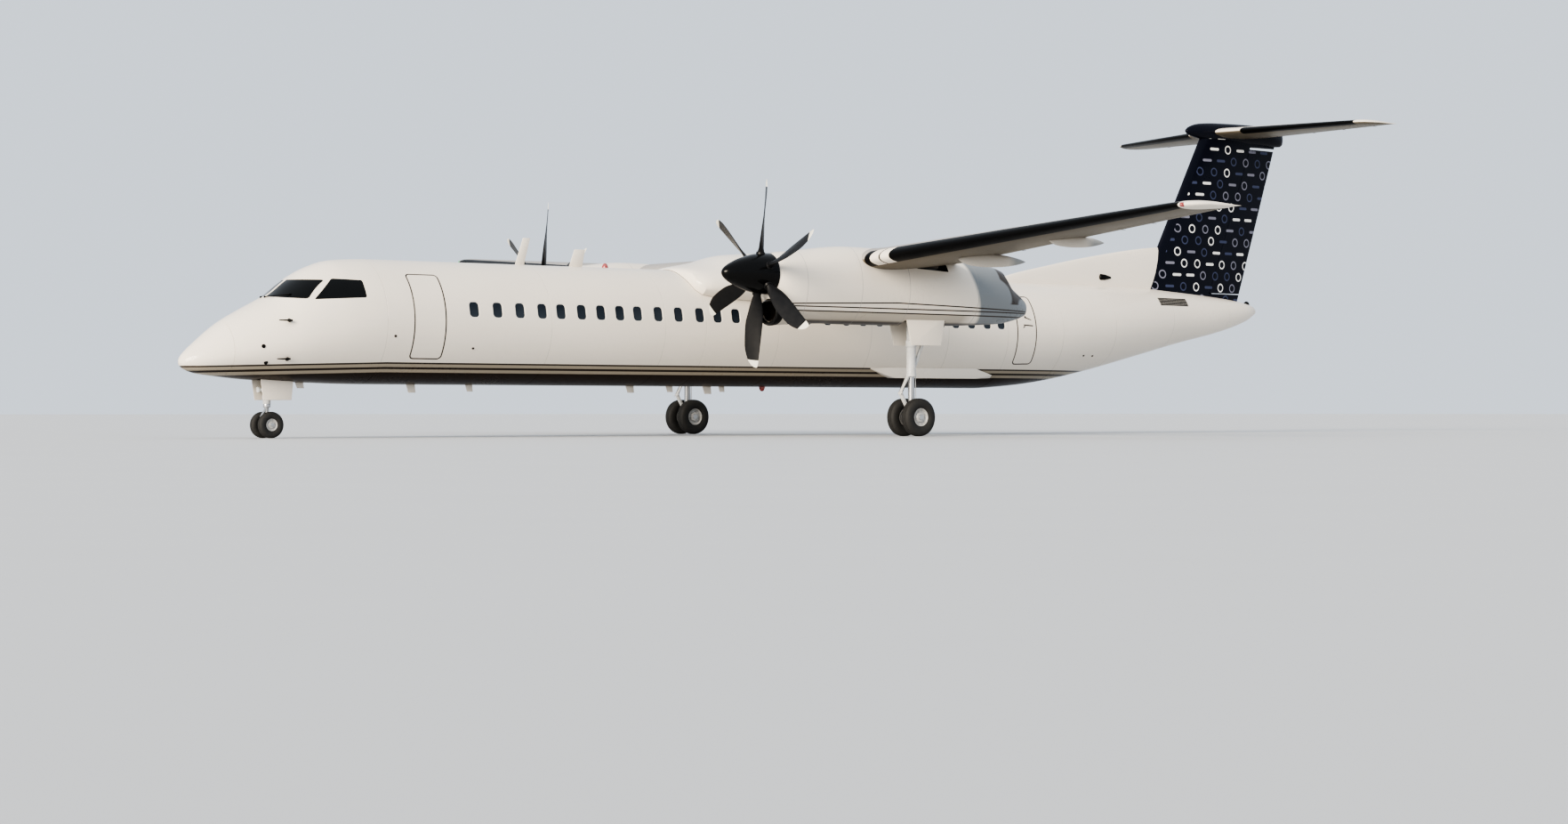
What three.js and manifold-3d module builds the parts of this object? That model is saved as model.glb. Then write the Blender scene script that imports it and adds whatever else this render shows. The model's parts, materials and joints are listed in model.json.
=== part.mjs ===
// A twin-turboprop regional airliner with a high wing and a T tail, parked on its wheels.
// Millimetres. +X runs aft, +Y to starboard, +Z up, and the origin is on the ground below the middle.
import * as THREE from 'three';
import { mergeVertices } from 'three/addons/utils/BufferGeometryUtils.js';
import Module from 'manifold-3d';

const wasm = await Module();
wasm.setup();

// Driving dimensions. Stations run aft from the nose tip, and levels up from the cabin's axis.
const LENGTH = 32830;
const HALF_SPAN = 14210;
const AXIS_HEIGHT = 2490;
const CABIN_RADIUS = 1345;
const ENGINE_Y = 4400;
const HUB_LEVEL = 1080;
const PROPELLER_RADIUS = 2055;
const BLADES = 6;
const TAIL_HALF_SPAN = 4635;
const NOSE_GEAR_STATION = 2000;
const MAIN_GEAR_STATION = 15940;

// TIDY is the finest detail. SEAM is the gap between pieces that touch, RUNNING the one around pins,
// and CLEAR and END_CLEAR the ones around pieces that move.
const SEAM = 0.3;
const RUNNING = 0.6;
const TIDY = 0.1;
const CLEAR = 8;
const END_CLEAR = 24;

// Facets around the fuselage, the smaller round bodies and the bars.
const SKIN_SIDES = 36;
const ROUND_SIDES = 12;
const NACELLE_SIDES = 24;
const BAR_SIDES = 8;
const FAR = 20000;

const station = (x) => x - LENGTH / 2;
const level = (z) => z + AXIS_HEIGHT;
const radians = THREE.MathUtils.degToRad;
const SIDES = { left: -1, right: 1 };

const PAINTS = {
  white: { color: 0xe9e6e0, roughness: 0.35, metalness: 0.0 },
  grey: { color: 0x9a9c9f, roughness: 0.5, metalness: 0.1 },
  navy: { color: 0x10141f, roughness: 0.35, metalness: 0.0 },
  black: { color: 0x111111, roughness: 0.3, metalness: 0.0 },
  glass: { color: 0x1b2129, roughness: 0.08, metalness: 0.0 },
  steel: { color: 0xb8babd, roughness: 0.35, metalness: 0.8 },
  engine: { color: 0x66625c, roughness: 0.6, metalness: 0.6 },
  tyre: { color: 0x1a1a1b, roughness: 0.85, metalness: 0.0 },
};
const materials = {};
for (const [name, look] of Object.entries(PAINTS)) {
  materials[name] = new THREE.MeshStandardMaterial({ name, ...look });
}

const airliner = new THREE.Group();

// Solids and meshes.

function signedVolume(place, index) {
  const corner = (i) => new THREE.Vector3().fromArray(place, 3 * index[i]);
  let sum = 0;
  for (let i = 0; i < index.length; i += 3) sum += corner(i).dot(corner(i + 1).cross(corner(i + 2)));
  return sum / 6;
}

// A closed surface as a solid, turned right side out.
function solidOf(geometry) {
  const bare = geometry.clone();
  bare.deleteAttribute('normal');
  bare.deleteAttribute('uv');
  const merged = mergeVertices(bare, 0.01);
  const vertProperties = new Float32Array(merged.attributes.position.array);
  const triVerts = new Uint32Array(merged.index.array);
  if (signedVolume(vertProperties, triVerts) < 0) triVerts.reverse();
  return new wasm.Manifold(new wasm.Mesh({ numProp: 3, vertProperties, triVerts }));
}

// Slivers finer than TIDY are closed up.
function geometryOf(solid) {
  const cut = solid.asOriginal().simplify(TIDY).getMesh();
  const geometry = new THREE.BufferGeometry();
  geometry.setAttribute('position', new THREE.BufferAttribute(new Float32Array(cut.vertProperties), 3));
  geometry.setIndex(new THREE.BufferAttribute(new Uint32Array(cut.triVerts), 1));
  geometry.computeVertexNormals();
  return geometry;
}

// A bore's radius to its corners, so that a round bar turns in it with RUNNING between them.
const boreRadius = (bar, sides) => (bar + RUNNING) / Math.cos(Math.PI / sides);

const joined = (...solids) => solids.reduce((sum, piece) => sum.add(piece));
const largest = (solid) => solid.decompose().sort((a, b) => b.volume() - a.volume())[0];

function addMesh(name, solid, paint, parent = airliner) {
  const mesh = new THREE.Mesh(geometryOf(solid), materials[paint]);
  mesh.name = name;
  parent.add(mesh);
}

function addGroup(x, y, z) {
  const group = new THREE.Group();
  group.position.set(x, y, z);
  airliner.add(group);
  return group;
}

// A closed skin through rings of points, with a flat cap on the first and the last ring.
function loft(rings) {
  const count = rings[0].length;
  const points = rings.flat();
  const index = [];
  for (let r = 0; r + 1 < rings.length; r++) {
    for (let i = 0; i < count; i++) {
      const a = r * count + i;
      const b = r * count + (i + 1) % count;
      index.push(a, b, a + count, b, b + count, a + count);
    }
  }
  const lastRing = (rings.length - 1) * count;
  for (let i = 1; i + 1 < count; i++) {
    index.push(i + 1, i, 0, lastRing, lastRing + i, lastRing + i + 1);
  }
  const geometry = new THREE.BufferGeometry().setFromPoints(points);
  geometry.setIndex(index);
  return solidOf(geometry);
}

function box(low, high) {
  const size = high.map((v, i) => v - low[i]);
  const geometry = new THREE.BoxGeometry(...size);
  geometry.translate(...low.map((v, i) => v + size[i] / 2));
  return solidOf(geometry);
}

// A round bar or cone between two points.
function rod(from, to, radius, endRadius = radius, sides = BAR_SIDES) {
  const start = new THREE.Vector3(...from);
  const along = new THREE.Vector3(...to).sub(start);
  const geometry = new THREE.CylinderGeometry(endRadius, radius, along.length(), sides);
  geometry.translate(0, along.length() / 2, 0);
  const up = new THREE.Vector3(0, 1, 0);
  geometry.applyQuaternion(new THREE.Quaternion().setFromUnitVectors(up, along.normalize()));
  geometry.translate(...start.toArray());
  return solidOf(geometry);
}

// A flat outline pushed along one axis. Its corners are given on the other two axes.
const ACROSS = { x: ['y', 'z'], y: ['x', 'z'], z: ['x', 'y'] };
function prism(axis, corners, from, to) {
  return loft([from, to].map((depth) => corners.map(([u, v]) => {
    const point = new THREE.Vector3();
    point[axis] = depth;
    point[ACROSS[axis][0]] = u;
    point[ACROSS[axis][1]] = v;
    return point;
  })));
}

// Bodies along X. Each section is two half ellipses that meet at the level of the widest point.

const ovalTable = (rows) => rows.map(([x, top, bottom, halfWidth, widest]) => (
  { x, top, bottom, halfWidth, widest }));

function ovals(sections, grow = 0, sides = SKIN_SIDES, y = 0) {
  return loft(sections.map(({ x, top, bottom, halfWidth, widest }) => (
    Array.from({ length: sides }, (_, i) => {
      const angle = (2 * Math.PI * i) / sides;
      const reach = (Math.cos(angle) > 0 ? top - widest : widest - bottom) + grow;
      return new THREE.Vector3(
        station(x),
        y + (halfWidth + grow) * Math.sin(angle),
        level(widest + reach * Math.cos(angle)),
      );
    }))));
}

// x, top, bottom, half width, level of the widest point
const FUSELAGE = ovalTable([
  [0, -860, -960, 60, -910],
  [100, -720, -1050, 210, -900],
  [350, -500, -1140, 410, -860],
  [920, -60, -1210, 700, -720],
  [1460, 240, -1260, 900, -580],
  [2000, 520, -1290, 1060, -450],
  [2430, 850, -1310, 1160, -330],
  [2900, 1120, -1320, 1235, -220],
  [3430, 1290, -1335, 1300, -120],
  [4150, 1340, -1345, 1340, -30],
  [4700, CABIN_RADIUS, -CABIN_RADIUS, CABIN_RADIUS, 0],
  [21500, CABIN_RADIUS, -CABIN_RADIUS, CABIN_RADIUS, 0],
  [22500, 1345, -1290, 1342, 20],
  [23500, 1345, -1190, 1320, 50],
  [25080, 1345, -920, 1190, 180],
  [26920, 1330, -520, 960, 380],
  [28600, 1260, -140, 710, 540],
  [30300, 1130, 210, 470, 670],
  [31300, 1010, 500, 270, 760],
  [31700, 900, 690, 110, 795],
]);
const RADOME_STATION = 920;
const TAIL_CONE_STATION = 30300;

const hull = (grow = 0) => ovals(FUSELAGE, grow);
const slab = (x0, x1) => box([station(x0), -FAR, -FAR], [station(x1), FAR, FAR]);

// Wing fairing over the cabin's crown, with a blunt front.
const WING_FAIRING = ovalTable([
  [12200, 1380, 860, 700, 1120],
  [12300, 1410, 640, 1130, 1000],
  [12450, 1440, 530, 1290, 940],
  [13000, 1540, 500, 1400, 900],
  [13800, 1740, 430, 1430, 880],
  [15500, 1830, 420, 1440, 880],
  [17300, 1760, 430, 1420, 880],
  [18400, 1560, 520, 1330, 900],
  [19200, 1400, 640, 1150, 1000],
  [19500, 1370, 860, 700, 1120],
]);

// Fairings low on the cabin's sides: x, then y and level of the outer face's top edge and bottom edge
const BELLY_FAIRING = [
  [17500, 1025, -880, 1005, -905],
  [18000, 1035, -870, 1020, -1060],
  [18250, 1040, -870, 1025, -1120],
  [20800, 1040, -870, 1025, -1120],
  [21450, 910, -1025, 835, -1100],
].map(([x, topY, top, bottomY, bottom]) => ({ x, topY, top, bottomY, bottom }));
const BELLY_FAIRING_ROOT = 300;

function bellyFairing(side) {
  const block = loft(BELLY_FAIRING.map(({ x, topY, top, bottomY, bottom }) => {
    const root = BELLY_FAIRING_ROOT;
    const corners = [[topY, top], [bottomY, bottom], [root, bottom], [root, top]];
    return corners.map(([y, z]) => new THREE.Vector3(station(x), side * y, level(z)));
  }));
  return largest(block.subtract(hull(SEAM)));
}

// Airfoils, from the trailing edge over the top to the leading edge and back below.

const FOIL_STEPS = 7;
const foilHalf = (t, thick) => 5 * thick * (0.2969 * Math.sqrt(t) - 0.126 * t
  - 0.3516 * t ** 2 + 0.2843 * t ** 3 - 0.1015 * t ** 4);
const foilMean = (t, camber) => 4 * camber * t * (1 - t);

function foilPoints({ chord, thick, camber }, grow) {
  const points = [];
  for (let i = 0; i <= 2 * FOIL_STEPS; i++) {
    const turn = (Math.PI * i) / FOIL_STEPS;
    const t = (1 + Math.cos(turn)) / 2;
    const side = Math.sign(FOIL_STEPS - i);
    const half = foilHalf(t, thick) * chord + grow;
    points.push([t * chord + grow * Math.cos(turn), foilMean(t, camber) * chord + side * half]);
  }
  return points;
}

const spanTable = (rows) => rows.map(([out, x, rise, chord, thick, camber = 0]) => (
  { out, x, rise, chord, thick, camber }));

// A wing runs out along Y, and a fin up along Z.
function wingSolid(sections, grow = 0) {
  return loft(sections.map((section) => foilPoints(section, grow).map(([along, up]) => (
    new THREE.Vector3(station(section.x + along), section.out, level(section.rise + up))))));
}
function finSolid(sections, grow = 0) {
  return loft(sections.map((section) => foilPoints(section, grow).map(([along, aside]) => (
    new THREE.Vector3(station(section.x + along), section.rise + aside, level(section.out))))));
}
const mirrored = (sections, side) => sections.map((section) => ({ ...section, out: side * section.out }));

function sectionAt(sections, out) {
  let i = 1;
  while (i < sections.length - 1 && sections[i].out < out) i++;
  const [a, b] = [sections[i - 1], sections[i]];
  const share = (out - a.out) / (b.out - a.out);
  const blend = {};
  for (const key of Object.keys(a)) blend[key] = a[key] + (b[key] - a[key]) * share;
  return blend;
}

// out, leading edge x, level of the chord line, chord, thickness ratio, camber
const WING_JOINT_Y = 4950;
const WING_ROOT = [WING_JOINT_Y, 14150, 1450, 2800, 0.18, 0.02];
const WING = spanTable([
  WING_ROOT,
  [13500, 14850, 2150, 1500, 0.13, 0.02],
  [13900, 14960, 2185, 1400, 0.125, 0.02],
  [14120, 15180, 2203, 1200, 0.11, 0.01],
  [HALF_SPAN, 15600, 2212, 830, 0.08, 0],
]);
const WING_CENTRE = spanTable([[0, ...WING_ROOT.slice(1)], WING_ROOT]);
const TAILPLANE = spanTable([
  [0, 30000, 5570, 2380, 0.12],
  [4300, 30880, 5570, 1330, 0.11],
  [4530, 31080, 5570, 1130, 0.1],
  [TAIL_HALF_SPAN, 31500, 5570, 720, 0.08],
]);
// For the fin the first column is a level and the third is a place across.
const FIN = spanTable([
  [1000, 27320, 0, 3740, 0.115],
  [5420, 29670, 0, 2900, 0.105],
]);
const DORSAL_FIN = ovalTable([
  [22200, 1330, 1150, 40, 1250],
  [22900, 1560, 1150, 60, 1300],
  [23810, 1750, 1150, 75, 1300],
  [25630, 2090, 1150, 95, 1300],
  [27760, 2390, 1150, 130, 1300],
  [28600, 2450, 1150, 120, 1300],
]);
const BULLET = ovalTable([
  [29120, 5590, 5540, 25, 5565],
  [29220, 5670, 5470, 90, 5565],
  [29570, 5780, 5390, 160, 5570],
  [30200, 5830, 5330, 200, 5570],
  [31420, 5850, 5300, 210, 5560],
  [32300, 5810, 5300, 170, 5540],
  [32740, 5740, 5320, 100, 5520],
  [LENGTH, 5700, 5350, 50, 5520],
]);

// Hinge line of a panel: its two ends, with the half thickness there. place turns a section to a point.
function hingeEnds(sections, { from, to, at }, place) {
  return [from, to].map((out) => {
    const section = sectionAt(sections, out);
    const { x, rise, chord, thick, camber } = section;
    const middle = rise + foilMean(at, camber) * chord;
    return { point: place(x + at * chord, out, middle), radius: foilHalf(at, thick) * chord };
  });
}
const onWing = (side) => (x, out, rise) => [station(x), side * out, level(rise)];
const onFin = (x, out, rise) => [station(x), rise, level(out)];

// The block behind a hinge line, with the ends drawn in by trim and the front face set back by back.
function panelBlock(ends, axis, trim, back = 0, topTrim = trim) {
  const other = axis === 'z' ? 1 : 2;
  const [a, b] = ends.map((end) => end.point);
  const way = Math.sign(b[other] - a[other]);
  const slope = (b[0] - a[0]) / (b[other] - a[other]);
  const low = a[other] + way * trim;
  const high = b[other] - way * topTrim;
  const front = (v) => a[0] + slope * (v - a[other]) + back;
  const rear = FAR;
  return prism(axis, [[front(low), low], [front(high), high], [rear, high], [rear, low]], -FAR, FAR);
}

function lerp(a, b, share) {
  return a.map((v, i) => v + (b[i] - v) * share);
}

function hingeBar(ends, trim, grow) {
  const [a, b] = ends;
  const length = new THREE.Vector3(...a.point).distanceTo(new THREE.Vector3(...b.point));
  const [s0, s1] = [trim / length, 1 - trim / length];
  const radius = (share) => a.radius + (b.radius - a.radius) * share + grow;
  return rod(lerp(a.point, b.point, s0), lerp(a.point, b.point, s1), radius(s0), radius(s1), ROUND_SIDES);
}

// Pins at both ends of a hinge line, from inside the fixed piece to inside the moving one.
const PIN = { radius: 14, root: 35, reach: 40 };
function hingePins(ends, radius, extra, topTrim) {
  const [a, b] = ends.map((end) => end.point);
  const length = new THREE.Vector3(...a).distanceTo(new THREE.Vector3(...b));
  const share = (distance) => distance / length;
  const inner = share(END_CLEAR + PIN.reach + extra);
  const outer = 1 - share(topTrim + PIN.reach + extra);
  return joined(
    rod(lerp(a, b, -share(PIN.root)), lerp(a, b, inner), radius),
    rod(lerp(a, b, outer), lerp(a, b, 1 + share(PIN.root)), radius),
  );
}

// Splits a hinged panel from the surface that carries it: a round nose in a hollow, on two pins.
function hingedPanel(solid, ends, axis, topTrim = END_CLEAR) {
  const nose = hingeBar(ends, Math.max(END_CLEAR, topTrim), 0);
  const moving = largest(solid.intersect(panelBlock(ends, axis, END_CLEAR, 0, topTrim).add(nose)));
  const hollow = panelBlock(ends, axis, 0).add(hingeBar(ends, 0, CLEAR));
  return {
    fixed: largest(solid.subtract(hollow)).add(hingePins(ends, PIN.radius, 0, topTrim)),
    moving: largest(moving.subtract(hingePins(ends, boreRadius(PIN.radius, BAR_SIDES), SEAM, topTrim))),
  };
}

// Flaps slide back and down on their tracks, so they are fixed here, shut, each behind its seam.
const FLAP_END_GAP = 12;
function flapPanel(solid, ends) {
  return {
    fixed: solid.subtract(panelBlock(ends, 'z', 0)),
    flap: largest(solid.intersect(panelBlock(ends, 'z', FLAP_END_GAP, SEAM))),
  };
}

const AILERON = { from: 11000, to: 13700, at: 0.75 };
const INNER_FLAP = { from: 1500, to: 3740, at: 0.76 };
const OUTER_FLAP = { from: 5120, to: 10900, at: 0.76 };
const ELEVATOR = { from: 330, to: 4420, at: 0.66 };
const RUDDER = { from: 1230, to: 5250, at: 0.66 };
const RUDDER_TOP_CLEAR = 70;

// Fairings over the flap tracks: y, first x, last x, level, half height, half width
const TRACK_FAIRINGS = [
  [6900, 15210, 17170, 1400, 150, 90],
  [9400, 15590, 17200, 1710, 130, 80],
];
const CANOE = [[0, 0.12], [0.12, 0.7], [0.4, 1], [0.75, 0.75], [1, 0.1]];
function trackFairing([y, x0, x1, z, halfHeight, halfWidth], side, grow = 0) {
  const sections = CANOE.map(([share, size]) => ({
    x: x0 + (x1 - x0) * share,
    top: z + halfHeight * size,
    bottom: z - halfHeight * size,
    halfWidth: halfWidth * size,
    widest: z,
  }));
  return ovals(sections, grow, BAR_SIDES, side * y);
}

// Nacelles, with the chin intake, the engine's bay and the landing gear's well.

const NACELLE = ovalTable([
  [11880, 1530, 560, 440, 1060],
  [11960, 1555, 420, 490, 1000],
  [12400, 1600, 60, 570, 880],
  [14000, 1750, 10, 610, 850],
  [16500, 1660, 20, 610, 800],
  [17100, 1580, 35, 590, 790],
  [17750, 1510, 60, 530, 770],
  [18560, 1350, 105, 400, 700],
  [18800, 1040, 145, 330, 600],
  [19370, 650, 310, 110, 480],
]);
const CHIN = ovalTable([
  [11850, 500, -25, 345, 240],
  [11920, 530, -45, 375, 245],
  [12500, 600, -10, 400, 290],
  [13600, 620, 30, 380, 320],
]);
const INTAKE = ovalTable([
  [11700, 470, 5, 315, 240],
  [12900, 520, 120, 260, 320],
]);
const ENGINE_BAY = { x0: 12450, x1: 13950, halfWidth: 330, bottom: 430, top: 1300 };
const ENGINE_ROOM = 15;
const GEAR_WELL = { x0: 15500, x1: 16700, halfWidth: 300, bottom: -100, top: 520 };

// The exhaust leaves through a notch in the outboard shoulder, below the wing's trailing edge.
const EXHAUST_NOTCH = {
  inner: 300,
  outer: 700,
  outline: [[15700, 1290], [16610, 1240], [16610, 1620], [15900, 1620]],
};

function nacelle(side, centreWing) {
  const y = side * ENGINE_Y;
  const room = ({ x0, x1, halfWidth, bottom, top }) => box(
    [station(x0), y - halfWidth, level(bottom)],
    [station(x1), y + halfWidth, level(top)],
  );
  const { inner, outer, outline } = EXHAUST_NOTCH;
  const corners = outline.map(([x, z]) => [station(x), level(z)]);
  const notch = prism('y', corners, y + side * inner, y + side * outer);
  const rooms = joined(room(ENGINE_BAY), room(GEAR_WELL), gearboxBore(y), notch);
  return largest(ovals(NACELLE, 0, NACELLE_SIDES, y)
    .add(ovals(CHIN, 0, NACELLE_SIDES, y))
    .subtract(ovals(INTAKE, 0, ROUND_SIDES, y))
    .subtract(rooms)
    .subtract(centreWing));
}

function engineBlock(side) {
  const y = side * ENGINE_Y;
  const { x0, x1, halfWidth, bottom, top } = ENGINE_BAY;
  return box(
    [station(x0 + ENGINE_ROOM), y - halfWidth + ENGINE_ROOM, level(bottom + SEAM)],
    [station(x1 - ENGINE_ROOM), y + halfWidth - ENGINE_ROOM, level(top - ENGINE_ROOM)],
  );
}

// Propellers. The hub's shaft runs in a bore in the nacelle's nose.

const SHAFT = { radius: 150, from: 11780, to: 12200 };
const HUB = { radius: 230, from: 11480, to: 11790 };
const SPINNER_BASE = 11860;
// x and radius, from the spinner's tip to its base
const SPINNER = [[10630, 0], [10700, 110], [10850, 200], [11150, 330], [11500, 425], [SPINNER_BASE, 455]];

const BLADE_STATION = 11620;
const BLADE_ROOT = { from: 200, to: 560, radius: 78 };
// The first blade leans this far to port at rest, and the pitch axis crosses the chord at this share of it.
const BLADE_REST_DEGREES = 9;
const BLADE_AXIS = 0.45;

function gearboxBore(y) {
  const z = level(HUB_LEVEL);
  const bore = boreRadius(SHAFT.radius, ROUND_SIDES);
  return rod([station(SPINNER_BASE), y, z], [station(SHAFT.to) + SEAM, y, z], bore, bore, ROUND_SIDES);
}

// radius, chord, thickness ratio, blade angle in degrees, sweep aft of the pitch line
const BLADE = [
  [500, 190, 0.6, 58, 0],
  [750, 300, 0.24, 50, 0],
  [1150, 385, 0.12, 40, -20],
  [1600, 360, 0.08, 33, -8],
  [1880, 270, 0.06, 29, 40],
  [2010, 160, 0.06, 28, 95],
  [PROPELLER_RADIUS, 60, 0.08, 28, 130],
].map(([radius, chord, thick, pitch, sweep]) => ({ radius, chord, thick, pitch, sweep }));
const BLADE_FOIL = [[1, 0], [0.5, 0.95], [0.15, 0.75], [0, 0], [0.15, -0.5], [0.6, -0.5]];

// One blade, pointing up along Z from the hub's centre. It pulls towards -X and turns about X.
function blade() {
  return loft(BLADE.map(({ radius, chord, thick, pitch, sweep }) => BLADE_FOIL.map(([along, up]) => {
    const a = (along - BLADE_AXIS) * chord + sweep;
    const b = (up * thick * chord) / 2;
    const turn = radians(pitch);
    return new THREE.Vector3(
      a * Math.sin(turn) - b * Math.cos(turn),
      a * Math.cos(turn) + b * Math.sin(turn),
      radius,
    );
  })));
}

function aroundHub(solid) {
  const step = 360 / BLADES;
  const turns = Array.from({ length: BLADES }, (_, i) => BLADE_REST_DEGREES + i * step);
  return joined(...turns.map((turn) => solid.rotate([turn, 0, 0])));
}

function bladeShank(grow) {
  return rod([0, 0, BLADE_ROOT.from], [0, 0, BLADE_ROOT.to], BLADE_ROOT.radius + grow);
}

function propeller(parent, name) {
  const at = (x) => station(x) - station(BLADE_STATION);
  const drum = (from, to, radius) => rod([at(from), 0, 0], [at(to), 0, 0], radius, undefined, ROUND_SIDES);
  const hub = joined(drum(HUB.from, HUB.to, HUB.radius), drum(SHAFT.from, SHAFT.to, SHAFT.radius));
  const blades = joined(hub, aroundHub(joined(bladeShank(0), blade())));
  addMesh(`propeller_${name}`, blades, 'black', parent);
  const outside = [...SPINNER, [SPINNER_BASE, 0]].map(([x, radius]) => new THREE.Vector2(radius, -at(x)));
  const shell = new THREE.LatheGeometry(outside, ROUND_SIDES);
  shell.rotateZ(Math.PI / 2);
  const room = drum(HUB.from - SEAM, SPINNER_BASE + CLEAR, HUB.radius + SEAM);
  const spinner = solidOf(shell).subtract(room).subtract(aroundHub(bladeShank(SEAM)));
  addMesh(`spinner_${name}`, spinner, 'black', parent);
}

// Wheels. A tyre's profile is radius and place across, and its lowest facet lies flat on the ground.

const MAIN_WHEEL = { radius: 434, width: 273, rim: 205, rimWidth: 210, spread: 260, axle: 62, sides: 24 };
const NOSE_WHEEL = { radius: 282, width: 168, rim: 130, rimWidth: 130, spread: 180, axle: 38, sides: 20 };
const flatRadius = ({ radius, sides }) => radius * Math.cos(Math.PI / sides);

// A ring around the axle. Its outline is radius and place across, from one face to the other.
function wheelRing(outline, sides, y) {
  const profile = [...outline, outline[0]].map(([radius, across]) => new THREE.Vector2(radius, across));
  const geometry = new THREE.LatheGeometry(profile, sides, Math.PI / sides);
  geometry.translate(0, y, 0);
  return solidOf(geometry);
}
const bothFaces = (half) => [...half.map(([radius, across]) => [radius, -across]), ...half.reverse()];

// The disc's hub is set in by HUB_SHARE of the rim's half width.
const HUB_SHARE = 0.9;

function addWheels(name, wheel, parent) {
  const { radius, width, rim, rimWidth, spread, axle, sides } = wheel;
  const [half, hub] = [width / 2, rimWidth / 2];
  const wall = radius - rim;
  const tyre = bothFaces([[rim + SEAM, hub * 0.86], [rim + wall * 0.44, half],
    [rim + wall * 0.86, half * 0.86], [radius, half * 0.6]]);
  const bore = boreRadius(axle, sides);
  const disc = bothFaces([[bore, hub * HUB_SHARE], [rim * 0.6, hub * HUB_SHARE], [rim * 0.75, hub * 0.45],
    [rim, hub * 0.93]]);
  for (const [place, way] of Object.entries(SIDES)) {
    addMesh(`${name}_tyre_${place}`, wheelRing(tyre, sides, way * spread), 'tyre', parent);
    addMesh(`${name}_rim_${place}`, wheelRing(disc, sides, way * spread), 'steel', parent);
  }
}

// The axle, with a sleeve between the two wheels that bears on their hubs, and a jack pad below it.
const SLEEVE_SHARE = 1.3;
const PAD_SHARE = 1.5;
const padDrop = ({ axle }) => axle * PAD_SHARE;
function axleBar(wheel, x, y, z) {
  const { spread, rimWidth, axle } = wheel;
  const reach = spread + rimWidth / 2;
  const sleeve = spread - (rimWidth * HUB_SHARE) / 2 - SEAM;
  return joined(
    rod([x, y - reach, z], [x, y + reach, z], axle),
    rod([x, y - sleeve, z], [x, y + sleeve, z], axle * SLEEVE_SHARE),
  );
}

// Main landing gear: a leg hung in the nacelle's well, with a stay that runs up aft.
// Heights are from the ground, and levels from the cabin's axis.
const MAIN_LEG = { cylinder: 105, piston: 72, joint: 1350, trunnion: 60, trunnionLevel: 330 };
const MAIN_STAY = { radius: 48, foot: [70, 1550], headSetback: 90, headLevel: 300, pin: 45 };
// Torque links fold forward: place ahead of the leg, then height
const MAIN_LINKS = {
  lower: { halfWidth: 45, outline: [[60, 490], [330, 960], [290, 1000], [50, 580]] },
  upper: { halfWidth: 60, outline: [[330, 960], [60, 1390], [60, 1470], [290, 1010]] },
};
const DOOR_SHEET = 22;
const DOOR_GAP = 4;

const torqueLink = ({ halfWidth, outline }, x, y) => prism('y',
  outline.map(([ahead, height]) => [x - ahead, height]), y - halfWidth, y + halfWidth);

function mainLeg(side) {
  const x = station(MAIN_GEAR_STATION);
  const y = side * ENGINE_Y;
  const axleZ = flatRadius(MAIN_WHEEL);
  const { cylinder, piston, joint, trunnion } = MAIN_LEG;
  const pivot = level(MAIN_LEG.trunnionLevel);
  const half = GEAR_WELL.halfWidth - SEAM;
  const [footAft, footHeight] = MAIN_STAY.foot;
  const headX = station(GEAR_WELL.x1) - MAIN_STAY.headSetback;
  const headZ = level(MAIN_STAY.headLevel);
  return joined(
    rod([x, y, axleZ - padDrop(MAIN_WHEEL)], [x, y, joint + CLEAR], piston),
    rod([x, y, joint], [x, y, pivot + trunnion], cylinder),
    rod([x, y - half, pivot], [x, y + half, pivot], trunnion),
    axleBar(MAIN_WHEEL, x, y, axleZ),
    rod([x + footAft, y, footHeight], [headX, y, headZ], MAIN_STAY.radius),
    rod([headX, y - half, headZ], [headX, y + half, headZ], MAIN_STAY.pin),
    torqueLink(MAIN_LINKS.lower, x, y),
    torqueLink(MAIN_LINKS.upper, x, y),
  );
}

// Gear doors hang open beside their wells: levels of the sheet's edges, and how far its ends slant in.
const MAIN_DOOR = { top: 200, bottom: -430, inset: 30, frontSlant: 160, rearSlant: 120 };
const NOSE_DOOR = { top: -1100, bottom: -1690, inset: 30, frontSlant: 90, rearSlant: 60 };

function doorSheet(door, well, y) {
  const [x0, x1] = [station(well.x0 + door.inset), station(well.x1 - door.inset)];
  const corners = [[x0, level(door.top)], [x1, level(door.top)],
    [x1 - door.rearSlant, level(door.bottom)], [x0 + door.frontSlant, level(door.bottom)]];
  return prism('y', corners, y - DOOR_SHEET / 2, y + DOOR_SHEET / 2);
}
const doorOffset = (well) => well.halfWidth + DOOR_SHEET / 2 + DOOR_GAP;

function mainDoor(side, way) {
  const y = side * ENGINE_Y + way * doorOffset(GEAR_WELL);
  const room = ovals(NACELLE, SEAM, NACELLE_SIDES, side * ENGINE_Y);
  return largest(doorSheet(MAIN_DOOR, GEAR_WELL, y).subtract(room));
}

// Nose landing gear: a fixed cylinder, and a steered piston with the axle. Heights are from the ground.
const NOSE_LEG = { cylinder: 82, piston: 46, collar: 720, collarDepth: 70, collarInset: 6 };
const NOSE_STAY = { radius: 34, foot: 860, headSetback: 70, headLevel: -1060, pin: 32 };
const NOSE_LINKS = {
  lower: { halfWidth: 28, outline: [[20, 310], [130, 440], [130, 480], [20, 370]] },
  upper: { halfWidth: 34, outline: [[130, 440], [20, 590], [20, 650], [130, 480]] },
};
const NOSE_BAY = { x0: 1700, x1: 2560, halfWidth: 190, bottom: -2000, top: -900 };

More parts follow.
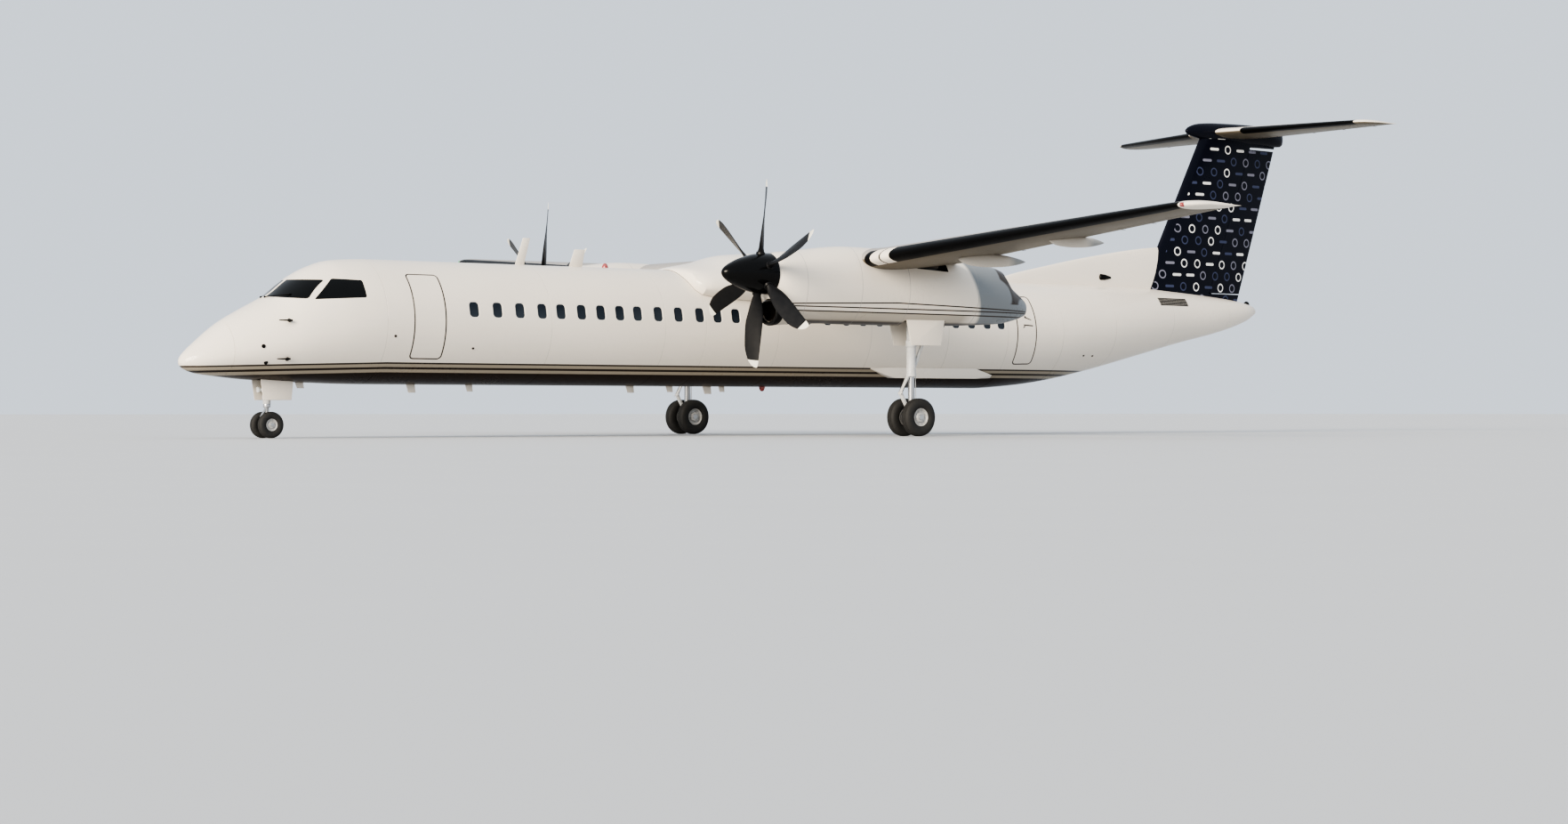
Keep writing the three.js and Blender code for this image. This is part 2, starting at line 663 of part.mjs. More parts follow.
function noseLeg() {
  const x = station(NOSE_GEAR_STATION);
  const headX = station(NOSE_BAY.x1) - NOSE_STAY.headSetback;
  const headZ = level(NOSE_STAY.headLevel);
  const half = NOSE_BAY.halfWidth - SEAM;
  return joined(
    rod([x, 0, NOSE_LEG.collar + SEAM], [x, 0, level(NOSE_BAY.top) - SEAM], NOSE_LEG.cylinder),
    rod([x, 0, NOSE_STAY.foot], [headX, 0, headZ], NOSE_STAY.radius),
    rod([headX, -half, headZ], [headX, half, headZ], NOSE_STAY.pin),
  );
}

function noseSteering() {
  const x = station(NOSE_GEAR_STATION);
  const axleZ = flatRadius(NOSE_WHEEL);
  const { cylinder, piston, collar, collarDepth, collarInset } = NOSE_LEG;
  return joined(
    rod([x, 0, axleZ - padDrop(NOSE_WHEEL)], [x, 0, collar - collarDepth / 2], piston),
    rod([x, 0, collar - collarDepth], [x, 0, collar], cylinder - collarInset),
    axleBar(NOSE_WHEEL, x, 0, axleZ),
    torqueLink(NOSE_LINKS.lower, x, 0),
    torqueLink(NOSE_LINKS.upper, x, 0),
  );
}

const noseDoor = (side) => largest(
  doorSheet(NOSE_DOOR, NOSE_BAY, side * doorOffset(NOSE_BAY)).subtract(hull(SEAM)));

// Cockpit panes, drawn from the front for the windscreen and from the side for the side windows.
const PANE_THICKNESS = 35;
const PANES = {
  windscreen: {
    axis: 'x',
    reach: [1200, 3200],
    outline: [[40, 490], [40, 850], [690, 840], [880, 425]],
  },
  side_window: {
    axis: 'y',
    reach: [500, 1400],
    outline: [[2520, 410], [3640, 465], [3640, 840], [2920, 865]],
  },
};

function paneBlock({ axis, reach, outline }, side, grow) {
  const middle = [0, 1].map((k) => outline.reduce((sum, corner) => sum + corner[k], 0) / outline.length);
  const wide = outline.map((corner) => corner.map((v, k) => v + grow * Math.sign(v - middle[k])));
  if (axis === 'x') return prism('x', wide.map(([y, z]) => [side * y, level(z)]), ...reach.map(station));
  return prism('y', wide.map(([x, z]) => [station(x), level(z)]), ...reach.map((y) => side * y));
}

// Doors in the cabin's side. Angles are from the horizontal, seen from the front.
const STAIR_DOOR = { x0: 4800, x1: 5560, sill: -36.5, head: 48, thickness: 110 };
const REAR_DOOR = { x0: 21930, x1: 22550, sill: -34, head: 44, thickness: 90 };
const SERVICE_DOOR = { x0: 21700, x1: 22390, sill: -34, head: 36, thickness: 90 };
const DOOR_ARC_STEPS = 6;
const TREADS = { count: 5, depth: 75, inset: 60, halfAngle: 1.1, root: 20 };
const HINGE_RADIUS = 18;
const KNUCKLES = 5;
// Webs that carry the fuselage's knuckles: distance from the skin, then degrees from the sill
const SILL_WEB = [[6, 0], [-14, 0.2], [-60, -1.6], [-4, -2]];

const onCabin = (radius, degrees, side) => [
  side * radius * Math.cos(radians(degrees)),
  level(radius * Math.sin(radians(degrees))),
];

// The block that holds a door: a sector of a tube around the cabin's axis.
function doorBlock({ x0, x1, sill, head }, side, depth, gap) {
  const turn = THREE.MathUtils.radToDeg(gap / CABIN_RADIUS);
  const arc = (radius) => Array.from({ length: DOOR_ARC_STEPS + 1 }, (_, i) => (
    onCabin(radius, sill - turn + ((head - sill + 2 * turn) * i) / DOOR_ARC_STEPS, side)));
  const outside = arc(CABIN_RADIUS + depth);
  const inside = arc(CABIN_RADIUS - depth - gap);
  return joined(...Array.from({ length: DOOR_ARC_STEPS }, (_, i) => prism('x',
    [outside[i], outside[i + 1], inside[i + 1], inside[i]], station(x0 - gap), station(x1 + gap))));
}

// Knuckles share the sill's hinge line in turn: even ones are the door's, odd ones the fuselage's.
function knuckles(odd, radius, grow) {
  const { x0, x1, sill } = STAIR_DOOR;
  const [y, z] = onCabin(CABIN_RADIUS, sill, -1);
  const pitch = (x1 - x0) / KNUCKLES;
  const bars = [];
  for (let i = odd; i < KNUCKLES; i += 2) {
    const from = station(x0 + i * pitch - grow);
    bars.push(rod([from, y, z], [station(x0 + (i + 1) * pitch + grow), y, z], radius));
  }
  return joined(...bars);
}

function sillWebs() {
  const { x0, x1, sill } = STAIR_DOOR;
  const pitch = (x1 - x0) / KNUCKLES;
  const placed = SILL_WEB.map(([out, degrees]) => onCabin(CABIN_RADIUS + out, sill + degrees, -1));
  return joined(...[1, 3].map((i) => prism('x', placed,
    station(x0 + i * pitch + CLEAR), station(x0 + (i + 1) * pitch - CLEAR))));
}

function stairDoor(skin) {
  const { x0, x1, sill, head, thickness } = STAIR_DOOR;
  const wall = CABIN_RADIUS - thickness;
  const treads = Array.from({ length: TREADS.count }, (_, i) => {
    const angle = sill + ((head - sill) * (i + 1)) / (TREADS.count + 1);
    const [edge, root] = [wall - TREADS.depth, wall + TREADS.root];
    const corners = [[root, -1], [edge, -1], [edge, 1], [root, 1]];
    const placed = corners.map(([radius, way]) => onCabin(radius, angle + way * TREADS.halfAngle, -1));
    return prism('x', placed, station(x0 + TREADS.inset), station(x1 - TREADS.inset));
  });
  return largest(joined(skin.intersect(doorBlock(STAIR_DOOR, -1, thickness, 0)), ...treads)
    .subtract(knuckles(1, HINGE_RADIUS + CLEAR, CLEAR))
    .add(knuckles(0, HINGE_RADIUS, -SEAM / 2)));
}

// Everything is cut from one hull, and each neighbour's room is cut out of it.

const skin = hull();
const core = hull(-PANE_THICKNESS);
const centreWing = (grow) => wingSolid(
  [...mirrored(WING_CENTRE.slice(1), -1), ...WING_CENTRE.slice(1)], grow);

addMesh('radome', skin.intersect(slab(-CLEAR, RADOME_STATION - SEAM)), 'white');
addMesh('tail_cone', skin.intersect(slab(TAIL_CONE_STATION + SEAM, LENGTH)), 'white');

let fuselage = skin.intersect(slab(RADOME_STATION, TAIL_CONE_STATION)).subtract(centreWing(SEAM));
for (const [sideName, side] of Object.entries(SIDES)) {
  for (const [paneName, pane] of Object.entries(PANES)) {
    const glass = skin.intersect(paneBlock(pane, side, -SEAM)).subtract(core);
    addMesh(`${paneName}_${sideName}`, largest(glass), 'glass');
    fuselage = fuselage.subtract(paneBlock(pane, side, 0).subtract(hull(-PANE_THICKNESS - SEAM)));
  }
  addMesh(`belly_fairing_${sideName}`, bellyFairing(side), 'white');
}
const DOORS = { rear_door: [REAR_DOOR, -1], service_door: [SERVICE_DOOR, 1] };
for (const [name, [door, side]] of Object.entries(DOORS)) {
  addMesh(name, skin.intersect(doorBlock(door, side, door.thickness, 0)), 'white');
  fuselage = fuselage.subtract(doorBlock(door, side, door.thickness, SEAM));
}
addMesh('stair_door', stairDoor(skin), 'white');
fuselage = fuselage
  .subtract(doorBlock(STAIR_DOOR, -1, STAIR_DOOR.thickness + TREADS.depth, CLEAR))
  .subtract(knuckles(0, HINGE_RADIUS + CLEAR, 0))
  .subtract(knuckles(1, HINGE_RADIUS + CLEAR, 0))
  .add(knuckles(1, HINGE_RADIUS, -SEAM / 2))
  .add(sillWebs());
const noseBay = box(
  [station(NOSE_BAY.x0), -NOSE_BAY.halfWidth, level(NOSE_BAY.bottom)],
  [station(NOSE_BAY.x1), NOSE_BAY.halfWidth, level(NOSE_BAY.top)],
);
addMesh('fuselage', largest(fuselage.subtract(noseBay)), 'white');

const fairing = ovals(WING_FAIRING, 0, NACELLE_SIDES).subtract(hull(SEAM)).subtract(centreWing(SEAM));
addMesh('wing_fairing', largest(fairing), 'white');

// Wings.

let centre = centreWing(0);
for (const [name, side] of Object.entries(SIDES)) {
  const inner = flapPanel(centre, hingeEnds(WING_CENTRE, INNER_FLAP, onWing(side)));
  centre = inner.fixed;
  addMesh(`inner_flap_${name}`, inner.flap, 'grey');

  const sections = mirrored(WING, side);
  sections[0].out += side * SEAM;
  const outer = flapPanel(wingSolid(sections), hingeEnds(WING, OUTER_FLAP, onWing(side)));
  const aileron = hingedPanel(outer.fixed, hingeEnds(WING, AILERON, onWing(side)), 'z');
  const canoes = TRACK_FAIRINGS.map((row) => trackFairing(row, side));
  const room = TRACK_FAIRINGS.map((row) => trackFairing(row, side, SEAM));
  addMesh(`wing_${name}`, joined(aileron.fixed, ...canoes), 'grey');
  addMesh(`outer_flap_${name}`, largest(outer.flap.subtract(joined(...room))), 'grey');
  addMesh(`aileron_${name}`, aileron.moving, 'grey');
}
addMesh('wing_centre', centre, 'grey');

// Tail.

const finSkin = finSolid(FIN).subtract(hull(SEAM)).subtract(ovals(BULLET, SEAM, ROUND_SIDES));
const fin = hingedPanel(largest(finSkin), hingeEnds(FIN, RUDDER, onFin), 'y', RUDDER_TOP_CLEAR);
addMesh('fin', fin.fixed, 'navy');
addMesh('rudder', fin.moving, 'navy');
const dorsalFin = ovals(DORSAL_FIN, 0, ROUND_SIDES).subtract(hull(SEAM)).subtract(finSolid(FIN, SEAM));
addMesh('dorsal_fin', largest(dorsalFin), 'white');

let tailplane = wingSolid([...mirrored(TAILPLANE.slice(1), -1).reverse(), ...TAILPLANE]);
const tailplaneRoom = wingSolid([...mirrored(TAILPLANE.slice(1), -1).reverse(), ...TAILPLANE], SEAM);
for (const [name, side] of Object.entries(SIDES)) {
  const elevator = hingedPanel(tailplane, hingeEnds(TAILPLANE, ELEVATOR, onWing(side)), 'z');
  tailplane = elevator.fixed;
  addMesh(`elevator_${name}`, elevator.moving, 'white');
}
addMesh('tailplane', tailplane, 'white');
addMesh('bullet_fairing', largest(ovals(BULLET, 0, ROUND_SIDES).subtract(tailplaneRoom)), 'navy');

// Nacelles, propellers and landing gear.

for (const [name, side] of Object.entries(SIDES)) {
  addMesh(`nacelle_${name}`, nacelle(side, centreWing(SEAM)), 'white');
  addMesh(`engine_${name}`, engineBlock(side), 'engine');
  propeller(addGroup(station(BLADE_STATION), side * ENGINE_Y, level(HUB_LEVEL)), name);
  addMesh(`main_leg_${name}`, mainLeg(side), 'steel');
  addMesh(`main_door_${name}_inner`, mainDoor(side, -side), 'white');
  addMesh(`main_door_${name}_outer`, mainDoor(side, side), 'white');
  const wheels = addGroup(station(MAIN_GEAR_STATION), side * ENGINE_Y, flatRadius(MAIN_WHEEL));
  addWheels(`main_${name}`, MAIN_WHEEL, wheels);
  addMesh(`nose_door_${name}`, noseDoor(side), 'white');
}
addMesh('nose_leg', noseLeg(), 'steel');
addMesh('nose_steering', noseSteering(), 'steel');
addWheels('nose', NOSE_WHEEL, addGroup(station(NOSE_GEAR_STATION), 0, flatRadius(NOSE_WHEEL)));

export default airliner;
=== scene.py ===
"""Looks of a twin-turboprop regional airliner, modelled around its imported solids.

Metres. +X runs aft, +Y to starboard, +Z up, and the origin is on the ground below the middle.
Tables are in millimetres: stations run aft from the nose tip, and levels up from the cabin's axis.
"""

import json
import math
from bisect import bisect_right
from collections import namedtuple

import bmesh
import bpy
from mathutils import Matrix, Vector

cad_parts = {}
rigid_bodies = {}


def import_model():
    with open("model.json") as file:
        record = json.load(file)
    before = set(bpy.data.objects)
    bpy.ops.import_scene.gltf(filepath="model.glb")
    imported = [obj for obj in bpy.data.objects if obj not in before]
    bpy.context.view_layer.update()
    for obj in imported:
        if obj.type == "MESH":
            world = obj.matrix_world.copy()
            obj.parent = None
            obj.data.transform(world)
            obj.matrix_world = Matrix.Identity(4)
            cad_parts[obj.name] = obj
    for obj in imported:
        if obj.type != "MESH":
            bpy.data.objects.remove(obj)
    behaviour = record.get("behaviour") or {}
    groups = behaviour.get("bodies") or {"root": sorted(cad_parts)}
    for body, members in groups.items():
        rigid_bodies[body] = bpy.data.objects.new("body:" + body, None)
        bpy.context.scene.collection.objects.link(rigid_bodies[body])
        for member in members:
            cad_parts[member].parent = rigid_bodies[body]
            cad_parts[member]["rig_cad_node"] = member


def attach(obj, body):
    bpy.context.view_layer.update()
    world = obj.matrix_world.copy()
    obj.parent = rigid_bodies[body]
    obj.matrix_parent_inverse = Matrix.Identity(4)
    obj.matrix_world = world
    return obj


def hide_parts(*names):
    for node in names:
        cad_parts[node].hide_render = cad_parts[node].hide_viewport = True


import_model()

bl_info = {
    "name": "Regional Airliner",
    "version": (1, 0, 0),
    "blender": (4, 5, 0),
    "location": "3D View > Sidebar > Airliner",
    "description": "Models the skins, cabin windows, landing gear and paint of a turboprop airliner",
    "category": "Object",
}

MM = 0.001
LENGTH = 32830
AXIS_HEIGHT = 2490
CABIN_RADIUS = 1345
ENGINE_Y = 4400
HUB_LEVEL = 1080
SIDES = {"left": -1, "right": 1}

HULL_SIDES = 96
POD_SIDES = 64
ROUND_SIDES = 48
SMALL_SIDES = 32
FOIL_SIDES = 48
TINY = 1e-6

# Edges that turn further than this stay sharp: on most pieces, on rolled lips and on domes
SHARP = math.radians(32)
ROLLED = math.radians(60)
DOMED = math.radians(80)


def station(x):
    return (x - LENGTH / 2) * MM


def level(z):
    return (z + AXIS_HEIGHT) * MM


# Sizes of the skins: x, top, bottom, half width, level of the widest point.

HULL = [
    (0, -905, -915, 5, -910),
    (5, -868, -945, 46, -909),
    (18, -836, -972, 92, -908),
    (40, -798, -1000, 134, -906),
    (68, -758, -1024, 172, -903),
    (100, -720, -1050, 210, -900),
    (350, -500, -1140, 410, -860),
    (920, -60, -1210, 700, -720),
    (1460, 240, -1260, 900, -580),
    (2000, 520, -1290, 1060, -450),
    (2430, 850, -1310, 1160, -330),
    (2900, 1120, -1320, 1235, -220),
    (3430, 1290, -1335, 1300, -120),
    (4150, 1340, -1345, 1340, -30),
    (4700, 1345, -1345, 1345, 0),
    (21500, 1345, -1345, 1345, 0),
    (22500, 1345, -1290, 1342, 20),
    (23500, 1345, -1190, 1320, 50),
    (25080, 1345, -920, 1190, 180),
    (26920, 1330, -520, 960, 380),
    (28600, 1260, -140, 710, 540),
    (30300, 1130, 210, 470, 670),
    (31300, 1010, 500, 270, 760),
    (31640, 925, 670, 130, 793),
    (31700, 885, 705, 95, 795),
]
STRAIGHT = 14  # the row that the straight part of the cabin starts at
RADOME_STATION = 920
TAIL_CONE_STATION = 30300
END_GAP = 2  # half of the gap at those two stations
TAIL_OUTLET = (0.014, 0.12)  # thickness of its rim, and its depth, in metres
SKIN_SEAMS = [4150, 8250, 11290, 12420, 14500, 17265, 19685, 21620, 23500, 25500, 27900]
SEAM_DEPTH = 3
SEAM_HALF = (3, 6)  # half of a seam's width at its bottom and at the skin
SEAM_CLEAR = 20  # no other ring stands this near to a seam or to an end

# Doors in the cabin's side. Angles are from the horizontal, seen from the front.
Door = namedtuple("Door", "x0 x1 sill head depth side gap corner body")
STAIR_DOOR = Door(4800, 5560, -36.5, 48, 110, -1, 8, 85, "stair_door_body")
REAR_DOOR = Door(21930, 22550, -34, 44, 90, -1, 6, 95, "airframe")
SERVICE_DOOR = Door(21700, 22390, -34, 36, 90, 1, 6, 95, "airframe")
DOORS = {"stair_door": STAIR_DOOR, "rear_door": REAR_DOOR, "service_door": SERVICE_DOOR}
# Treads in the stair door: first and last station, depth, thickness, how many
Tread = namedtuple("Tread", "x0 x1 depth thick count")
TREAD = Tread(4860, 5500, 75, 44, 5)
TREAD_SUNK = 10  # how far the treads reach into the door

# Cabin windows: the stations of their middles, alike on both sides
WINDOWS = [
    6280, 6870, 7440, 8010, 8500, 9040, 9550, 10060, 10540, 11100, 11660, 12250, 12750, 13270, 13770,
    14250, 14770, 15340, 15940, 16500, 17010, 17520, 18030, 18510, 18980, 19450, 19920, 20430, 20940, 21400,
]
WINDOW_LEVEL = 270

# Cockpit panes: the axis that they are pushed along and how far, then their corners. These are across and
# level for the windscreen, along and level for the side windows.
PANES = {
    "windscreen": ("X", (1200, 3200), [(40, 490), (40, 850), (780, 838), (925, 425)]),
    "side_window": ("Y", (500, 1400), [(2600, 412), (3720, 470), (3720, 840), (3080, 865)]),
}
PANE_BED = (1100, 4400, -34)  # the skin's inside behind the panes: first and last station, growth
PANE_FACE = (1000, 4500, -6)
PANE_GAP = 7

# Openings: two from corner to corner, and one as corners of station and level
NOSE_BAY = ((1700, -190, -2000), (2560, 190, -900))
GEAR_WELL = ((15500, -300, -100), (16700, 300, 520))
EXHAUST_NOTCH = [(15700, 1290), (16610, 1240), (16610, 1620), (15900, 1620)]
NOTCH_REACH = (300, 700)  # where the notch starts and ends, out from the engine's middle
# Exhaust pipe and the disc in it: profiles of place along X and radius, in metres. It is turned about a pivot;
# both places are a station, a distance out from the engine's middle and a level.
EXHAUST_PIPE = [(-0.3, 0.125), (0.12, 0.14), (0.14, 0.136), (0.14, 0.128), (0.1, 0.124), (-0.28, 0.11)]
EXHAUST_DISC = [(-0.2, 0.118), (-0.16, 0.118)]
EXHAUST_PLACE = (16150, 440, 1440)
EXHAUST_PIVOT = (16000, 400, 1440)
EXHAUST_TURN = math.radians(16)

# Spinner and hub: x and radius. Shank: place up from the hub's centre and radius, in metres. Blade: place up,
# chord, thickness ratio, pitch in degrees, sweep aft.
SPINNER = [(10630, 4), (10636, 34), (10658, 74), (10700, 118), (10850, 212), (11150, 335), (11500, 426),
           (11780, 453), (11860, 455)]
HUB = [(11480, 230), (11790, 230), (11790, 150), (12200, 150)]
SHANK = [(0.2, 0.1), (0.46, 0.1), (0.475, 0.092)]
BLADE_STATION = 11620
BLADE = [
    (200, 150, 1.38, 58, 0),
    (430, 150, 1.38, 58, 0),
    (560, 210, 0.55, 56, 0),
    (750, 300, 0.24, 50, 0),
    (1150, 385, 0.12, 40, -20),
    (1600, 360, 0.08, 33, -8),
    (1880, 270, 0.06, 29, 40),
    (2010, 160, 0.06, 28, 95),
    (2048, 84, 0.08, 28, 124),
    (2055, 40, 0.08, 28, 138),
]
BLADE_AXIS = 0.45  # where along its chord a blade turns
BLADE_FULLNESS = 0.8
BLADE_REST = 9  # how far the first blade stands from upright, in degrees
BLADES = 6

# Wheels: station, radius on the ground, tyre width, rim radius, place across from the leg
Wheel = namedtuple("Wheel", "x radius width rim spread")
MAIN_WHEEL = Wheel(15940, 430.2, 273, 205, 260)
NOSE_WHEEL = Wheel(2000, 278.5, 168, 130, 180)

# Landing gear, in metres from the ground below the middle of a leg.
# Profiles round a leg: height and radius
MAIN_LEG = [(1.35, 0.105), (1.352, 0.121), (1.42, 0.121), (1.43, 0.108), (2.02, 0.105), (2.03, 0.124),
            (2.17, 0.124), (2.18, 0.105), (2.66, 0.105), (2.72, 0.118), (2.88, 0.118)]
MAIN_FOOT = [(0.34, 0.093), (0.38, 0.098), (0.52, 0.098), (0.56, 0.085)]
MAIN_PISTON = [(0.55, 0.072), (1.355, 0.072)]
NOSE_LEG = [(0.7203, 0.082), (0.80, 0.082), (0.805, 0.096), (0.90, 0.096), (0.905, 0.082), (1.2, 0.082),
            (1.21, 0.094), (1.26, 0.094), (1.27, 0.082), (1.588, 0.082)]
NOSE_PISTON = [(0.2215, 0.05), (0.3485, 0.058), (0.3785, 0.048), (0.64, 0.046), (0.65, 0.076), (0.72, 0.076)]
# Profiles round an axle, of one half: place across and radius
MAIN_SLEEVE = [(-0.165, 0.0806), (-0.12, 0.0806), (-0.1, 0.095)]
MAIN_AXLE = [(-0.365, 0.058), (-0.36, 0.061)]
MAIN_BRAKE = [(0.102, 0.12), (0.108, 0.16), (0.145, 0.16), (0.158, 0.15)]
NOSE_SLEEVE = [(-0.121, 0.0494), (-0.08, 0.0494), (-0.07, 0.06)]
NOSE_AXLE = [(-0.245, 0.036), (-0.242, 0.0375)]
# Torque links: half width, then places ahead of the leg and heights; radius of the pin that joins them
MAIN_LINKS = [(0.045, [(0.06, 0.49), (0.33, 0.96), (0.29, 1.0), (0.05, 0.58)]),
              (0.06, [(0.33, 0.96), (0.06, 1.39), (0.06, 1.47), (0.29, 1.01)])]
MAIN_LINK_PIN = 0.022
NOSE_LINKS = [(0.028, [(0.02, 0.31), (0.13, 0.44), (0.13, 0.48), (0.02, 0.37)]),
              (0.034, [(0.13, 0.44), (0.02, 0.59), (0.02, 0.65), (0.13, 0.48)])]
NOSE_LINK_PIN = 0.014
# Rods: both ends, radius, sides
MAIN_RODS = [
    ((0, -0.2997, 2.82), (0, 0.2997, 2.82), 0.06, 32),  # trunnion
    ((0.07, 0, 1.55), (0.67, 0, 2.79), 0.04, 32),  # stay
    ((0.07, 0, 1.55), (0.19, 0, 1.798), 0.05, 32),  # the stay's sleeve
    ((0, -0.11, 1.56), (0, 0.11, 1.56), 0.045, 24),  # the stay's lower pin
    ((0.67, -0.2997, 2.79), (0.67, 0.2997, 2.79), 0.045, 32),  # the stay's upper pin
]
MAIN_HOSES = [
    ((0.13, 0.03, 0.5), (0.1, 0.03, 1.4), 0.011, 12),
    ((0.13, -0.03, 0.5), (0.1, -0.03, 1.4), 0.008, 12),
]
NOSE_RODS = [
    ((0, 0, 0.86), (0.49, 0, 1.43), 0.032, 32),  # strut
    ((0, -0.1, 0.855), (0, 0.1, 0.855), 0.03, 24),  # its lower pin
    ((0.49, -0.1897, 1.43), (0.49, 0.1897, 1.43), 0.032, 32),  # its upper pin
    ((0.02, 0.1, 0.76), (0.02, 0.1, 1.25), 0.012, 12),  # hose
]
# Lamps on the nose leg: profile along X, then place across and height
NOSE_LAMP = [(-0.16, 0.055), (-0.155, 0.062), (-0.12, 0.06), (-0.08, 0.03)]
NOSE_LAMP_PLACE = (0.12, 1.02)

# Profiles of one half of a main wheel: place across and radius, in metres
TYRE = [(-0.09, 0.2053), (-0.118, 0.235), (-0.1345, 0.29), (-0.135, 0.345), (-0.118, 0.395), (-0.085, 0.4225),
        (-0.05, 0.429), (-0.048, 0.421), (-0.042, 0.421), (-0.04, 0.4296), (-0.005, 0.4301), (-0.003, 0.422)]
RIM = [(-0.085, 0.2045), (-0.098, 0.2045), (-0.103, 0.198), (-0.098, 0.188), (-0.055, 0.17), (-0.05, 0.125),
       (-0.085, 0.105), (-0.093, 0.085), (-0.093, 0.064)]
WHEEL_BOLTS = 10
WHEEL_BOLT = (0.147, 0.05, 0.011)  # distance from the axle, place across where it starts, radius

# Fairings, nacelles and intakes, in the same columns as the cabin
WING_FAIRING = [
    (12170, 1360, 1000, 420, 1160),
    (12200, 1380, 860, 700, 1120),
    (12300, 1410, 640, 1130, 1000),
    (12450, 1440, 530, 1290, 940),
    (13000, 1540, 500, 1400, 900),
    (13800, 1740, 430, 1430, 880),
    (15500, 1830, 420, 1440, 880),
    (17300, 1760, 430, 1420, 880),
    (18400, 1560, 520, 1330, 900),
    (19200, 1400, 640, 1150, 1000),
    (19500, 1360, 900, 640, 1120),
]
DORSAL_FIN = [
    (22200, 1350, 1150, 30, 1250),
    (22900, 1560, 1150, 60, 1300),
    (23810, 1750, 1150, 75, 1300),
    (25630, 2090, 1150, 95, 1300),
    (27760, 2390, 1150, 130, 1300),
    (28600, 2450, 1150, 120, 1300),
]
BULLET = [
    (29120, 5570, 5560, 6, 5565),
    (29135, 5600, 5532, 36, 5565),
    (29220, 5670, 5470, 90, 5565),
    (29570, 5780, 5390, 160, 5570),
    (30200, 5830, 5330, 200, 5570),
    (31420, 5850, 5300, 210, 5560),
    (32300, 5810, 5300, 170, 5540),
    (32740, 5740, 5320, 100, 5520),
    (32820, 5690, 5370, 50, 5525),
    (32830, 5660, 5400, 30, 5525),
]
NACELLE = [
    (11880, 1520, 570, 430, 1060),
    (11960, 1555, 420, 490, 1000),
    (12400, 1600, 60, 570, 880),
    (14000, 1750, 10, 610, 850),
    (16500, 1660, 20, 610, 800),
    (17100, 1580, 35, 590, 790),
    (17750, 1510, 60, 530, 770),
    (18560, 1350, 105, 400, 700),
    (18800, 1040, 145, 330, 600),
    (19340, 670, 300, 120, 480),
    (19370, 640, 320, 100, 480),
]
CHIN = [
    (11850, 492, -17, 337, 240),
    (11870, 512, -35, 357, 242),
    (11920, 530, -45, 375, 245),
    (12500, 600, -10, 400, 290),
    (13600, 620, 30, 380, 320),
]
INTAKE = [(11700, 470, 5, 315, 240), (12900, 520, 120, 260, 320)]
# Duct in the intake: its stations, and how far its two faces lie inside the intake's wall. A plate ends it.
DUCT = [11970, 12200, 12500, 12880]
DUCT_FACES = (-2, -14)
DUCT_PLATE = [12500, 12540]
DUCT_PLATE_FACE = -16
# Flap track fairings: shares of their length and size, then y, first x, last x, level, half height, half width
CANOE = [(0, 0.03), (0.02, 0.2), (0.05, 0.4), (0.12, 0.7), (0.25, 0.92), (0.4, 1), (0.6, 0.93),
         (0.75, 0.75), (0.88, 0.47), (0.97, 0.18), (1, 0.05)]
TRACK_FAIRINGS = [(6900, 15210, 17170, 1400, 150, 90), (9400, 15590, 17200, 1710, 130, 80)]

# Lip of the air intake, rolled from the outside to the inside
INTAKE_LIP = [
    (12020, 545, -43, 383, 253),
    (11970, 543, -51, 386, 248),
    (11920, 535, -54, 382, 245),
    (11885, 521, -44, 368, 243),
    (11860, 500, -20, 347, 241),
    (11846, 478, 2, 326, 240),
    (11858, 460, 18, 306, 240),
    (11900, 452, 24, 298, 240),
    (12020, 452, 26, 296, 243),
]

# Scoop on the dorsal fin
SCOOP = [
    (25880, 1600, 1520, 30, 1560),
    (25910, 1650, 1490, 70, 1560),
    (26060, 1640, 1490, 70, 1560),
    (26280, 1590, 1530, 30, 1560),
]
SCOOP_Y = -85

# Blade antennas: x of the foot's two ends, level of the foot and the tip, sweep of the tip
ANTENNAS = [
    (8120, 8350, 1335, 1950, 210),
    (9550, 9900, 1335, 1740, 150),
    (2650, 2850, -1295, -1440, 60),
    (5340, 5560, -1335, -1520, 60),
    (6830, 7010, -1335, -1490, 50),
    (11090, 11310, -1335, -1500, 60),
    (12210, 12400, -1335, -1480, 50),
    (13260, 13500, -1335, -1520, 60),
    (13720, 13890, -1335, -1470, 40),
]
ANTENNA_TAPER = 0.18  # how much of its length is gone at the tip
ANTENNA_HALF = 0.009  # half of its thickness, in metres
# Small fittings on the skin, by station and level
PROBES = [(2030, -40), (2000, -840)]
PORTS = [(1480, -580), (1580, -910)]
VENTS = [(6300, -560), (24410, -500), (24780, -500), (4350, -330)]
# Louvres under the fin: first and last station, lowest level, step, height, how far out and in, how many
LOUVRES = (27440, 28570, 850, 34, 25, 4, -40, 6)
# A wiper's two ends: place across and level
WIPER = [(90, 478), (620, 520)]
# Lamps: profiles of place along an axis and radius, in metres
BEACON = [(0, 0.075), (0.04, 0.07), (0.09, 0.05), (0.115, 0.02)]
BEACONS = [(10530, 1335, 1), (15000, -1335, -1)]  # station, level, and the way that it points
TAIL_LAMP = [(-0.06, 0.07), (0.0, 0.085), (0.05, 0.07), (0.085, 0.03)]
TAIL_LAMP_PLACE = (31440, 975)  # station and level
POSITION_LIGHT = [(-0.055, 0.02), (-0.04, 0.04), (0.03, 0.05), (0.12, 0.03), (0.18, 0.012)]
POSITION_LIGHT_OUT = 13930
# Handle and marks on the rear doors: x from the door's front, level, length, height, slope in degrees
DOOR_MARKS = [(290, 420, 0.045, 0.05, 0), (400, 375, 0.22, 0.022, 18), (360, 215, 0.3, 0.026, 3),
              (215, 175, 0.07, 0.018, -40)]
# Static wicks: the surface, and how far out along its rear edge they stand
WICKS = {
    "wing": [7200, 8900, 10600],
    "aileron": [11600, 12500, 13400],
    "elevator": [1600, 2700, 3800],
}

